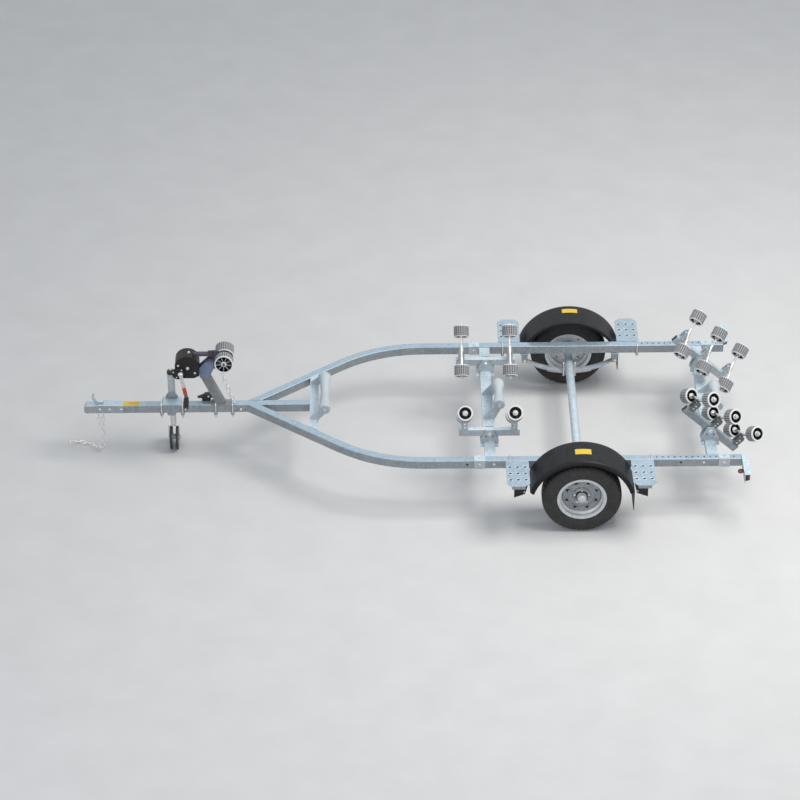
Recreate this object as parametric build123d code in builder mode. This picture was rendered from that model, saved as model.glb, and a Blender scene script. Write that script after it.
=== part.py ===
from build123d import *

import os
from math import asin, cos, degrees, radians, sin, sqrt, tan

os.makedirs("parts", exist_ok=True)

# Boat trailer with tilting roller cradles, in millimetres.
# X runs forward to the coupler, Y to the left, Z up, with the ground at Z = 0.

# Overall layout
chain_ahead = 150.0
axle_from_nose = 3720.0
rear_pivot_behind_axle = 978.806
running_gap = 0.3
moving_gap = 6.0
plate = 5.0

# Tilting roller cradles
beam_y = 450.0
beam_width = 40.0
beam_height = 60.0
pair_spacing = 234.0
front_pair_spacing = 370.0
beam_overhang = 40.0
front_pivot_z = 522.0
rear_pivot_z = 534.0
rear_pitch = 43.0
pivot_radius = 10.0
pivot_plate_width = 137.0
ear_width = 46.0
stem_radius = 10.0
stem_tilt = 45.0
outer_roller_y = 81.0
outer_roller_n = 222.0
inner_roller_y = -163.0
inner_roller_n = 26.0
roller_radius = 58.0
roller_length = 86.0
roller_wall = 9.0
roller_hub_radius = 19.0
roller_edge = 6.0

# The last rear roller ends the object, and the safety chain's tip begins it
roller_axis_x = sin(radians(stem_tilt)) * sin(radians(rear_pitch))
rear_reach = (
    pair_spacing * cos(radians(rear_pitch))
    + outer_roller_n * sin(radians(rear_pitch))
    + (roller_length / 2 - roller_edge) * roller_axis_x
    + roller_radius * sqrt(1 - roller_axis_x**2)
)
half_length = (chain_ahead + axle_from_nose + rear_pivot_behind_axle + rear_reach) / 2
nose_x = half_length - chain_ahead
axle_x = nose_x - axle_from_nose
rear_pivot_x = axle_x - rear_pivot_behind_axle

# Frame tubes
tube_wall = 3.0
tube_corner = 6.0
rail_width = 60.0
rail_height = 70.0
rail_top = 480.0
rail_y = 728.0
rail_behind_pivot = 211.194
rail_rear_x = rear_pivot_x - rail_behind_pivot
rail_bend_x = axle_x + 1502.0
rail_angle = 37.0
rail_bend_radius = 1050.0
rail_bottom = rail_top - rail_height
rail_mid_z = rail_top - rail_height / 2
rail_inner_y = rail_y - rail_width / 2
rail_outer_y = rail_y + rail_width / 2
rail_apex_x = rail_bend_x + rail_y / tan(radians(rail_angle))
drawbar_width = 60.0
front_member_x = axle_x + 1978.0
front_member_width = 60.0
member_width = 80.0
member_height = 50.0
member_end_top = 474.0
member_centre_top = 411.0
member_flat = 90.0
middle_member_x = axle_x + 665.0
coupler_length = 303.0
coupler_socket = 240.0
drawbar_front = nose_x - coupler_socket
drawbar_rear = front_member_x + front_member_width / 2

# Wheels, axle and springs
tyre_radius = 295.0
tyre_width = 165.0
axle_z = tyre_radius
wheel_y = 925.0
rim_radius = 165.0
flange_radius = 182.5
rim_half_width = 63.0
axle_radius = 32.5
spindle_radius = 15.0
hub_radius = 62.0
spring_y = rail_y - 18.0
spring_width = 45.0
spring_half_span = 350.0
leaf_thickness = 8.0
eye_radius = 16.0
eye_drop = 56.0

# Keel rollers
keel_radius = 45.0
keel_waist_radius = 30.0
keel_pin_radius = 9.0
keel_behind = 84.0
keel_arm_gap = 6.0

# Winch post, winch and bow rollers, placed back from the nose
post_x = nose_x - 1048.0
post_lean = 23.0
post_width = 50.0
post_depth = 70.0
post_height = 300.0
bow_x = nose_x - 1080.0
bow_z = 904.0
bow_radius = 70.0
bow_length = 92.0
bow_roller_y = 70.0
bow_tilt = 12.0
bow_pin_radius = 9.0
winch_x = nose_x - 800.0
winch_length = 180.0
winch_width = 116.0
winch_bottom = 752.0
winch_top = 948.0
crank_x = winch_x + 48.0
crank_z = 812.0
crank_throw = 222.0
crank_angle = 9.0
crank_shaft_radius = 8.0
crank_arm_y = 92.0
crank_grip = 140.0

# Jack
jack_x = nose_x - 665.0
jack_y = -82.0
jack_outer_radius = 28.0
jack_inner_radius = 23.0
jack_top = 700.0
jack_bottom = 345.0
jack_inner_top = 560.0
jockey_radius = 103.0
jockey_width = 16.0
jockey_spacing = 46.0
jockey_axle_z = jockey_radius
fork_top = 222.0
fork_half_width = 42.0


def save(piece, name):
    """Label a finished piece and write it under its own name."""
    piece.part.label = name
    export_step(piece.part, f"parts/{name}.step")


def tube_section(width, height, wall=tube_wall, corner=tube_corner):
    """A hollow rectangular section, drawn in the sketch that is open."""
    RectangleRounded(width, height, corner)
    RectangleRounded(width - 2 * wall, height - 2 * wall, corner - wall, mode=Mode.SUBTRACT)


# Drawbar
with BuildPart() as drawbar:
    with BuildSketch(Plane(origin=(drawbar_rear, 0, rail_mid_z), x_dir=(0, 1, 0), z_dir=(1, 0, 0))):
        tube_section(drawbar_width, rail_height)
    extrude(amount=drawbar_front - drawbar_rear)
save(drawbar, "drawbar")

# Side rails: straight at the back, then one wide bend in to the drawbar
with BuildPart() as rail_left:
    with BuildLine(Plane.XY.offset(rail_mid_z)) as rail_path:
        FilletPolyline(
            (rail_rear_x, rail_y), (rail_bend_x, rail_y), (rail_apex_x, 0), radius=rail_bend_radius
        )
    with BuildSketch(Plane(origin=(rail_rear_x, rail_y, rail_mid_z), x_dir=(0, 1, 0), z_dir=(1, 0, 0))):
        tube_section(rail_width, rail_height)
    sweep(path=rail_path.wires()[0])
    split(bisect_by=Plane(origin=(0, drawbar_width / 2, 0), z_dir=(0, 1, 0)), keep=Keep.TOP)

with BuildPart() as rails:
    add(rail_left.part)
    mirror(rail_left.part, about=Plane.XZ)
save(rails, "rails")


def rail_inner_at(x):
    """Y of the rail's inner face where it runs in obliquely to the drawbar."""
    centre = (rail_apex_x - x) * tan(radians(rail_angle))
    return centre - rail_width / 2 / cos(radians(rail_angle))


# Crossmembers: the front one is cut to the oblique rails
with BuildPart() as crossmembers:
    front_edge = front_member_x + front_member_width / 2
    back_edge = front_member_x - front_member_width / 2
    with BuildSketch(Plane.XY.offset(rail_top - member_height)):
        with BuildLine():
            Polyline(
                (front_edge, rail_inner_at(front_edge)),
                (back_edge, rail_inner_at(back_edge)),
                (back_edge, -rail_inner_at(back_edge)),
                (front_edge, -rail_inner_at(front_edge)),
                close=True,
            )
        make_face()
    extrude(amount=member_height)
    with BuildSketch(
        Plane(
            origin=(front_member_x, -rail_y, rail_top - member_height / 2), x_dir=(1, 0, 0), z_dir=(0, 1, 0)
        )
    ):
        RectangleRounded(
            front_member_width - 2 * tube_wall, member_height - 2 * tube_wall, tube_corner - tube_wall
        )
    extrude(amount=2 * rail_y, mode=Mode.SUBTRACT)
    for member_x in (middle_member_x, rear_pivot_x):
        # outer shell, then the hollow inside it, which is open at both rails
        for width, inset, reach, mode in (
            (member_width, 0, rail_inner_y, Mode.ADD),
            (member_width - 2 * tube_wall, tube_wall, rail_inner_y + 1, Mode.SUBTRACT),
        ):
            with BuildSketch(Plane.YZ.offset(member_x - width / 2)):
                with BuildLine():
                    Polyline(
                        (reach, member_end_top - inset),
                        (member_flat, member_centre_top - inset),
                        (-member_flat, member_centre_top - inset),
                        (-reach, member_end_top - inset),
                        (-reach, member_end_top - member_height + inset),
                        (-member_flat, member_centre_top - member_height + inset),
                        (member_flat, member_centre_top - member_height + inset),
                        (reach, member_end_top - member_height + inset),
                        close=True,
                    )
                make_face()
            extrude(amount=width, mode=mode)
save(crossmembers, "crossmembers")

# Saddle clamps where the crossmembers meet the rails
saddle_length = 82.0
with BuildPart() as rail_saddles:
    for saddle_x in (
        middle_member_x + member_width / 2 + saddle_length / 2,
        rear_pivot_x - member_width / 2 - saddle_length / 2,
    ):
        for side in (1, -1):
            with BuildSketch(
                Plane(
                    origin=(saddle_x - saddle_length / 2, side * rail_y, rail_mid_z),
                    x_dir=(0, 1, 0),
                    z_dir=(1, 0, 0),
                )
            ):
                Rectangle(rail_width + 2 * plate, rail_height + 2 * plate)
                Rectangle(rail_width, rail_height, mode=Mode.SUBTRACT)
                with Locations((0, -rail_height / 2 - plate / 2)):
                    Rectangle(rail_width + 2 * plate, plate, mode=Mode.SUBTRACT)
            extrude(amount=saddle_length)
save(rail_saddles, "rail_saddles")

# Cradle frames: a local plane whose X runs forward along the beam and whose Z leaves its top
cradle_table = [
    # name, side, pivot x, pivot z, pitch down at the rear, pair offsets along the beam, half length
    ("front_left", 1, middle_member_x, front_pivot_z, 0.0, (0.5, -0.5), front_pair_spacing),
    ("front_right", -1, middle_member_x, front_pivot_z, 0.0, (0.5, -0.5), front_pair_spacing),
    ("rear_left", 1, rear_pivot_x, rear_pivot_z, rear_pitch, (1, 0, -1), pair_spacing),
    ("rear_right", -1, rear_pivot_x, rear_pivot_z, rear_pitch, (1, 0, -1), pair_spacing),
]


def cradle_frame(side, x, z, pitch):
    """The cradle's own plane at its pivot, pitched down at the rear."""
    forward = (cos(radians(pitch)), 0, sin(radians(pitch)))
    up = (-sin(radians(pitch)), 0, cos(radians(pitch)))
    return Plane(origin=(x, side * beam_y, z), x_dir=forward, z_dir=up)


def stem_points(side):
    """The bent stem's corners, across the beam and up from it."""
    lean_y = cos(radians(stem_tilt))
    lean_n = sin(radians(stem_tilt))
    inner_end = roller_length / 2 + 22
    inner_bend = 60
    outer_bend = 75
    table = (
        (inner_roller_y, inner_roller_n, -inner_end),
        (inner_roller_y, inner_roller_n, inner_bend),
        (outer_roller_y, outer_roller_n, -outer_bend),
        (outer_roller_y, outer_roller_n, inner_end),
    )
    return [(side * (y + along * lean_y), n + along * lean_n) for y, n, along in table]


def stem_height(across):
    """Height of the stem's middle run above the pivot, at a place across the beam."""
    points = stem_points(1)
    (y1, n1), (y2, n2) = points[1], points[2]
    return n1 + (across - y1) * (n2 - n1) / (y2 - y1)


ear_y = beam_width / 2 - plate / 2
ear_top = stem_height(ear_y) + stem_radius + 12


def make_cradle(side, offsets, spacing):
    """Beam with ears, and the bent stems that lie in them, in the cradle's own frame."""
    beam_length = spacing * (max(offsets) - min(offsets)) + 2 * beam_overhang
    with BuildPart() as cradle:
        with BuildSketch(Plane.YZ.offset(-beam_length / 2)):
            tube_section(beam_width, beam_height)
        extrude(amount=beam_length)
        for offset_along in offsets:
            along = offset_along * spacing
            with BuildSketch(Plane.XZ):
                with Locations((along, (ear_top + beam_height / 2) / 2)):
                    Rectangle(ear_width, ear_top - beam_height / 2)
            extrude(amount=beam_width / 2, both=True)
            with BuildSketch(Plane.XZ):
                with Locations((along, (ear_top + beam_height / 2) / 2 + plate)):
                    Rectangle(ear_width + 2, ear_top - beam_height / 2)
            extrude(amount=beam_width / 2 - plate, both=True, mode=Mode.SUBTRACT)
        with Locations(*[(0, 0, 0)]):
            Cylinder(
                pivot_radius + running_gap, beam_width + 2, rotation=(90, 0, 0), mode=Mode.SUBTRACT
            )
        for offset_along in offsets:
            along = offset_along * spacing
            (low_y, low_n), (high_y, high_n) = stem_points(1)[1:3]
            middle_plane = Plane(
                origin=(along, 0, stem_height(0)),
                x_dir=(1, 0, 0),
                z_dir=(0, side * (high_y - low_y), high_n - low_n),
            )
            with BuildSketch(middle_plane):
                Circle(stem_radius + running_gap)
            extrude(amount=beam_width, both=True, mode=Mode.SUBTRACT)
        for offset_along in offsets:
            along = offset_along * spacing
            points = [(along, y, n) for y, n in stem_points(side)]
            with BuildLine() as stem_path:
                FilletPolyline(*points, radius=40)
            start = stem_path.line @ 0
            direction = stem_path.line % 0
            with BuildSketch(Plane(origin=start, z_dir=direction)):
                Circle(stem_radius)
            sweep(path=stem_path.line)
    return cradle


# One roller about its own axis: hollow ends, a web in the middle and a hub
with BuildPart() as roller:
    with BuildSketch(Plane.XZ):
        with BuildLine():
            Polyline(
                (stem_radius + running_gap, -roller_length / 2 + 6),
                (roller_hub_radius, -roller_length / 2 + 6),
                (roller_hub_radius, -6),
                (roller_radius - roller_wall, -6),
                (roller_radius - roller_wall, -roller_length / 2),
                (roller_radius - 4, -roller_length / 2),
                (roller_radius, -roller_length / 2 + 6),
                (roller_radius, roller_length / 2 - 6),
                (roller_radius - 4, roller_length / 2),
                (roller_radius - roller_wall, roller_length / 2),
                (roller_radius - roller_wall, 6),
                (roller_hub_radius, 6),
                (roller_hub_radius, roller_length / 2 - 6),
                (stem_radius + running_gap, roller_length / 2 - 6),
                close=True,
            )
        make_face()
    revolve(axis=Axis.Z)


def roller_frames(side, offsets, spacing, frame):
    """The rollers' own planes: Z is each roller's axis, leaning up and out."""
    frames = []
    for along in offsets:
        for y, n in ((outer_roller_y, outer_roller_n), (inner_roller_y, inner_roller_n)):
            centre = frame.from_local_coords(Vector(along * spacing, side * y, n))
            lean = Vector(0, side * cos(radians(stem_tilt)), sin(radians(stem_tilt)))
            direction = frame.from_local_coords(lean) - frame.from_local_coords(Vector(0, 0, 0))
            frames.append(Plane(origin=centre, x_dir=frame.x_dir, z_dir=direction))
    return frames


for name, side, x, z, pitch, offsets, spacing in cradle_table:
    frame = cradle_frame(side, x, z, pitch)
    local_cradle = make_cradle(side, offsets, spacing)
    with BuildPart() as placed_cradle:
        with Locations(frame.location):
            add(local_cradle.part)
    save(placed_cradle, f"cradle_{name}")
    for number, roller_frame in enumerate(roller_frames(side, offsets, spacing, frame), start=1):
        with BuildPart() as placed_roller:
            with Locations(roller_frame.location):
                add(roller.part)
        save(placed_roller, f"roller_{name}_{number}")

# Pivot brackets: two flanged plates astride the crossmember and the pin that the beam tilts on
flange_width = 40.0
plate_offset = beam_width / 2 + moving_gap + plate / 2
member_slope = (member_end_top - member_centre_top) / (rail_inner_y - member_flat)
with BuildPart() as cradle_pivots:
    for side, x, z in (
        (1, middle_member_x, front_pivot_z),
        (-1, middle_member_x, front_pivot_z),
        (1, rear_pivot_x, rear_pivot_z),
        (-1, rear_pivot_x, rear_pivot_z),
    ):
        for outward in (1, -1):
            face_y = beam_y + outward * plate_offset
            seat = member_centre_top + (face_y - member_flat) * member_slope
            low = seat - 22
            high = z + pivot_radius + 18
            with BuildSketch(Plane(origin=(x, side * face_y, 0), x_dir=(1, 0, 0), z_dir=(0, -1, 0))):
                with BuildLine():
                    Polyline(
                        (-pivot_plate_width / 2, low),
                        (pivot_plate_width / 2, low),
                        (pivot_plate_width / 2, seat + 18),
                        (26, high),
                        (-26, high),
                        (-pivot_plate_width / 2, seat + 18),
                        close=True,
                    )
                make_face()
            extrude(amount=plate / 2, both=True)
            with Locations((x, side * (face_y + outward * flange_width / 2), low + plate / 2)):
                Box(pivot_plate_width, flange_width, plate)
        with Locations((x, side * beam_y, z)):
            Cylinder(pivot_radius, 2 * plate_offset + plate + 16, rotation=(90, 0, 0))
    add(crossmembers.part, mode=Mode.SUBTRACT)
save(cradle_pivots, "cradle_pivots")

# Keel rollers, waisted so that a keel runs to their middle, with their brackets
keel_table = [
    # name, x of the crossmember, width of that member, z of the roller's axis, length, member's top
    ("front", front_member_x, front_member_width, 563.0, 430.0, rail_top),
    ("middle", middle_member_x, member_width, 540.0, 290.0, member_centre_top),
    ("rear", rear_pivot_x, member_width, 505.0, 290.0, member_centre_top),
]
for name, member_x, width, z, length, seat in keel_table:
    x = member_x - keel_behind
    with BuildPart() as keel_roller:
        with BuildSketch(Plane(origin=(x, 0, z), x_dir=(1, 0, 0), z_dir=(0, 0, 1))):
            with BuildLine():
                Polyline(
                    (keel_pin_radius + running_gap, -length / 2),
                    (keel_radius - 5, -length / 2),
                    (keel_radius, -length / 2 + 5),
                    (keel_radius, -length / 2 + 45),
                    (keel_waist_radius, -35),
                    (keel_waist_radius, 35),
                    (keel_radius, length / 2 - 45),
                    (keel_radius, length / 2 - 5),
                    (keel_radius - 5, length / 2),
                    (keel_pin_radius + running_gap, length / 2),
                    close=True,
                )
            make_face()
        revolve(axis=Axis((x, 0, z), (0, 1, 0)))
    save(keel_roller, f"keel_roller_{name}")

with BuildPart() as keel_brackets:
    for name, member_x, width, z, length, seat in keel_table:
        x = member_x - keel_behind
        arm_y = length / 2 + keel_arm_gap + plate / 2
        for side in (1, -1):
            with BuildSketch(Plane(origin=(0, side * arm_y, 0), x_dir=(1, 0, 0), z_dir=(0, -1, 0))):
                with BuildLine():
                    Polyline(
                        (member_x + width / 2 - 6, seat + 26),
                        (member_x + width / 2 - 6, seat - 6),
                        (member_x - width / 2 - plate, seat - 6),
                        (x - 22, z - 10),
                        (x - 22, z + 14),
                        (x - 12, z + 22),
                        (x + 14, z + 22),
                        close=True,
                    )
                make_face()
            extrude(amount=plate / 2, both=True)
        with Locations((member_x - width / 2 - plate / 2, 0, seat - 4)):
            Box(plate, 2 * arm_y + plate, 44)
        with Locations((x, 0, z)):
            Cylinder(keel_pin_radius, 2 * arm_y + plate + 14, rotation=(90, 0, 0))
    add(crossmembers.part, mode=Mode.SUBTRACT)
save(keel_brackets, "keel_brackets")

# Leaf springs under the axle, each pack in two arcs from eye to eye
eye_z = rail_bottom - eye_drop
pad = 10.0
spring_low = axle_z - axle_radius - pad
spring_rise = eye_z - spring_low
spring_radius = (spring_half_span**2 + spring_rise**2) / 2 / spring_rise
spring_bolt_radius = 7.0
with BuildPart() as leaf_springs:
    for side in (1, -1):
        spring_plane = Plane(origin=(axle_x, side * spring_y, 0), x_dir=(1, 0, 0), z_dir=(0, -1, 0))
        for layer, share in ((0, 1.0), (1, 0.72), (2, 0.45)):
            sweep_angle = degrees(asin(spring_half_span / spring_radius)) * share
            outer = spring_radius + leaf_thickness * (layer + 1)
            inner = spring_radius + leaf_thickness * layer
            with BuildSketch(spring_plane):
                with BuildLine():
                    centre = (0, spring_low + spring_radius)
                    low = CenterArc(centre, outer, 270 - sweep_angle, 2 * sweep_angle)
                    high = CenterArc(centre, inner, 270 - sweep_angle, 2 * sweep_angle)
                    Line(low @ 0, high @ 0)
                    Line(low @ 1, high @ 1)
                make_face()
            extrude(amount=spring_width / 2, both=True)
        for end in (1, -1):
            with Locations((axle_x + end * spring_half_span, side * spring_y, eye_z)):
                Cylinder(eye_radius, spring_width, rotation=(90, 0, 0))
                Cylinder(spring_bolt_radius + 0.05, spring_width + 2, rotation=(90, 0, 0), mode=Mode.SUBTRACT)
save(leaf_springs, "leaf_springs")

# Axle tube with its spindles and the seats that its springs bolt to
with BuildPart() as axle:
    with Locations((axle_x, 0, axle_z)):
        Cylinder(axle_radius, 2 * (wheel_y - 75), rotation=(90, 0, 0))
        Cylinder(spindle_radius, 2 * (wheel_y + 12), rotation=(90, 0, 0))
    for side in (1, -1):
        with Locations((axle_x, side * spring_y, (axle_z + spring_low) / 2)):
            Box(80, spring_width, axle_z - spring_low)
    add(leaf_springs.part, mode=Mode.SUBTRACT)
save(axle, "axle")

# Spring hangers under the rails, and the plates under the springs
hanger_height = eye_drop + 20
with BuildPart() as spring_hangers:
    for side in (1, -1):
        for end in (1, -1):
            x = axle_x + end * spring_half_span
            hanger_y = spring_width / 2 + running_gap + plate / 2
            for outward in (1, -1):
                with Locations((x, side * spring_y + outward * hanger_y, rail_bottom - hanger_height / 2)):
                    Box(44, plate, hanger_height)
            with Locations((x, side * spring_y, rail_bottom - plate / 2)):
                Box(60, 2 * hanger_y + plate, plate)
            with Locations((x, side * spring_y, eye_z)):
                Cylinder(spring_bolt_radius, 2 * hanger_y + plate + 16, rotation=(90, 0, 0))
        with Locations((axle_x, side * spring_y, spring_low - 3 * leaf_thickness - 5)):
            Box(90, spring_width + 20, 10)
save(spring_hangers, "spring_hangers")

# Tyre and rim, drawn about the axle line and mirrored to the right
tyre_profile = (
    # radius, distance out from the wheel's middle
    (rim_radius + running_gap, -rim_half_width + 5),
    (flange_radius + 1, -rim_half_width + 3),
    (flange_radius + 4, -rim_half_width - 5),
    (230, -tyre_width / 2),
    (262, -tyre_width / 2 + 1),
    (285, -tyre_width / 2 + 14),
    (tyre_radius - 1, -tyre_width / 2 + 26),
    (tyre_radius, -tyre_width / 2 + 45),
    (tyre_radius, tyre_width / 2 - 45),
    (tyre_radius - 1, tyre_width / 2 - 26),
    (285, tyre_width / 2 - 14),
    (262, tyre_width / 2 - 1),
    (230, tyre_width / 2),
    (flange_radius + 4, rim_half_width + 5),
    (flange_radius + 1, rim_half_width - 3),
    (rim_radius + running_gap, rim_half_width - 5),
)
wheel_plane = Plane(origin=(axle_x, wheel_y, axle_z), x_dir=(1, 0, 0), z_dir=(0, 0, 1))
wheel_axis = Axis((axle_x, wheel_y, axle_z), (0, 1, 0))
with BuildPart() as tyre_left:
    with BuildSketch(wheel_plane):
        with BuildLine():
            Polyline(*tyre_profile, close=True)
        make_face()
    revolve(axis=wheel_axis)
save(tyre_left, "tyre_left")

disc_y = 12.0
with BuildPart() as rim_left:
    # barrel with both flanges and the wheel's disc
    with BuildSketch(wheel_plane):
        with BuildLine():
            Polyline(
                (rim_radius, -rim_half_width + 4),
                (flange_radius, -rim_half_width - 1),
                (flange_radius, -rim_half_width - 3.5),
                (rim_radius - 5, -rim_half_width),
                (rim_radius - 5, -30),
                (rim_radius - 22, -20),
                (rim_radius - 22, disc_y - 4),
                (62, disc_y - 4),
                (62, disc_y + 2),
                (rim_radius - 22, disc_y + 2),
                (rim_radius - 18, 22),
                (rim_radius - 5, 34),
                (rim_radius - 5, rim_half_width),
                (flange_radius, rim_half_width + 3.5),
                (flange_radius, rim_half_width + 1),
                (rim_radius, rim_half_width - 4),
                (rim_radius, 32),
                (rim_radius - 16, 20),
                (rim_radius - 16, -18),
                (rim_radius, -28),
                close=True,
            )
        make_face()
    revolve(axis=wheel_axis)
    disc_plane = Plane(origin=(axle_x, wheel_y + disc_y, axle_z), x_dir=(1, 0, 0), z_dir=(0, 1, 0))
    with BuildSketch(disc_plane):
        with PolarLocations(118, 8):
            RegularPolygon(15, 3)
    extrude(amount=10, both=True, mode=Mode.SUBTRACT)
    # hub with its flange and dust cap
    with BuildSketch(wheel_plane):
        with BuildLine():
            Polyline(
                (spindle_radius + 0.05, -60),
                (hub_radius, -60),
                (hub_radius, -20),
                (75, -14),
                (75, disc_y - 2),
                (62, disc_y),
                (48, disc_y + 10),
                (34, disc_y + 16),
                (33, 62),
                (24, 70),
                (0, 72),
                (0, 14),
                (spindle_radius + 0.05, 14),
                close=True,
            )
        make_face()
    revolve(axis=wheel_axis)
save(rim_left, "rim_left")

for left_piece, name in ((tyre_left, "tyre_right"), (rim_left, "rim_right")):
    with BuildPart() as right_piece:
        mirror(left_piece.part, about=Plane.XZ)
    save(right_piece, name)

# Mudguards: one section turned about the wheel, with a rounded outer shoulder and a lip on both sides
guard_radius = 400.0
guard_centre_z = axle_z - 42.0
guard_inner_y = rail_outer_y
guard_outer_y = 1012.0
guard_sheet = 4.0
guard_lip = 22.0
guard_shoulder = 26.0
guard_end_angle = 16.4
flap_drop = 172.0
flap_thickness = 5.0
with BuildPart() as mudguard_left:
    guard_plane = Plane(
        origin=(axle_x, 0, guard_centre_z),
        x_dir=(cos(radians(guard_end_angle)), 0, sin(radians(guard_end_angle))),
        z_dir=(sin(radians(guard_end_angle)), 0, -cos(radians(guard_end_angle))),
    )
    with BuildSketch(guard_plane):
        with BuildLine():
            crown = guard_radius
            inside = guard_radius - guard_sheet
            low = guard_radius - guard_lip
            shoulder_middle = (crown - guard_shoulder, guard_outer_y - guard_shoulder)
            Polyline(
                (crown - guard_shoulder, guard_outer_y),
                (low - 8, guard_outer_y),
                (low - 8, guard_outer_y - guard_sheet),
                (crown - guard_shoulder, guard_outer_y - guard_sheet),
            )
            CenterArc(shoulder_middle, guard_shoulder - guard_sheet, 0, 90)
            Polyline(
                (inside, guard_outer_y - guard_shoulder),
                (inside, guard_inner_y + guard_sheet),
                (low, guard_inner_y + guard_sheet),
                (low, guard_inner_y),
                (crown, guard_inner_y),
                (crown, guard_outer_y - guard_shoulder),
            )
            CenterArc(shoulder_middle, guard_shoulder, 0, 90)
        make_face()
    revolve(axis=Axis((axle_x, 0, guard_centre_z), (0, -1, 0)), revolution_arc=180 - 2 * guard_end_angle)

with BuildPart() as mudguards:
    add(mudguard_left.part)
    mirror(mudguard_left.part, about=Plane.XZ)
save(mudguards, "mudguards")

flap_x = axle_x - (guard_radius - guard_sheet / 2) * cos(radians(guard_end_angle)) - 1
flap_top = guard_centre_z + guard_radius * sin(radians(guard_end_angle)) + 6
with BuildPart() as mud_flaps:
    for side in (1, -1):
        with Locations((flap_x, side * (guard_inner_y + guard_outer_y) / 2, flap_top - flap_drop / 2)):
            Box(flap_thickness, guard_outer_y - guard_inner_y - 24, flap_drop)
    add(mudguards.part, mode=Mode.SUBTRACT)
save(mud_flaps, "mud_flaps")

# Steps beside the mudguards
step_length = 170.0
step_top = 480.0
step_outer_y = 1068.0
step_thickness = 4.0
step_lip = 28.0
step_corner = 36.0
gusset_y = 1000.0
gusset_drop = 118.0
with BuildPart() as steps:
    for side in (1, -1):
        for step_x, outward in ((axle_x + 471, 1), (axle_x - 452, -1)):
            half = step_length / 2
            with BuildSketch(Plane.XY.offset(step_top - step_thickness)):
                with BuildLine():
                    Polyline(
                        (step_x - half, side * rail_outer_y),
                        (step_x + half, side * rail_outer_y),
                        (step_x + half, side * (step_outer_y - step_corner)),
                        (step_x + half - step_corner, side * step_outer_y),
                        (step_x - half + step_corner, side * step_outer_y),
                        (step_x - half, side * (step_outer_y - step_corner)),
                        close=True,
                    )
                make_face()
            extrude(amount=step_thickness)
            with Locations((step_x, side * (step_outer_y - step_thickness / 2), step_top - step_lip / 2)):
                Box(step_length - 2 * step_corner, step_thickness, step_lip)
            with Locations((step_x, side * (rail_outer_y + step_thickness / 2), step_top - step_lip / 2)):
                Box(step_length, step_thickness, step_lip)
            # the plate below that the mudguard's end is bolted to
            gusset_plane = Plane(
                origin=(step_x, side * gusset_y, step_top - 2), x_dir=(outward, 0, 0), z_dir=(0, -outward, 0)
            )
            with BuildSketch(gusset_plane):
                with BuildLine():
                    Polyline(
                        (-half + 6, 0),
                        (30, 0),
                        (30, -gusset_drop - 32),
                        (-half + 34, -gusset_drop),
                        close=True,
                    )
                make_face()
            extrude(amount=step_thickness / 2, both=True)
save(steps, "steps")

# Lamp plates and tail lamps at the rear ends of the rails
lamp_outer_y = 965.0
lamp_plate_depth = 48.0
lamp_sheet = 4.0
lamp_plate_top = rail_top + 10
lamp_plate_height = 76.0
lamp_depth = 36.0
lamp_length = 190.0
lamp_height = 58.0
with BuildPart() as lamp_plates:
    for side in (1, -1):
        lamp_y = side * (rail_y + lamp_outer_y) / 2
        with Locations((rail_rear_x + 2 - lamp_plate_depth / 2, lamp_y, lamp_plate_top - lamp_sheet / 2)):
            Box(lamp_plate_depth, lamp_outer_y - rail_y, lamp_sheet)
        with Locations((rail_rear_x - lamp_sheet / 2, lamp_y, lamp_plate_top - lamp_plate_height / 2)):
            Box(lamp_sheet, lamp_outer_y - rail_y, lamp_plate_height)
save(lamp_plates, "lamp_plates")

with BuildPart() as tail_lamps:
    for side in (1, -1):
        with Locations(
            (
                rail_rear_x - lamp_sheet - lamp_depth / 2,
                side * (lamp_outer_y - 5 - lamp_length / 2),
                lamp_plate_top - lamp_sheet - lamp_height / 2,
            )
        ):
            Box(lamp_depth, lamp_length, lamp_height)
save(tail_lamps, "tail_lamps")

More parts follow.
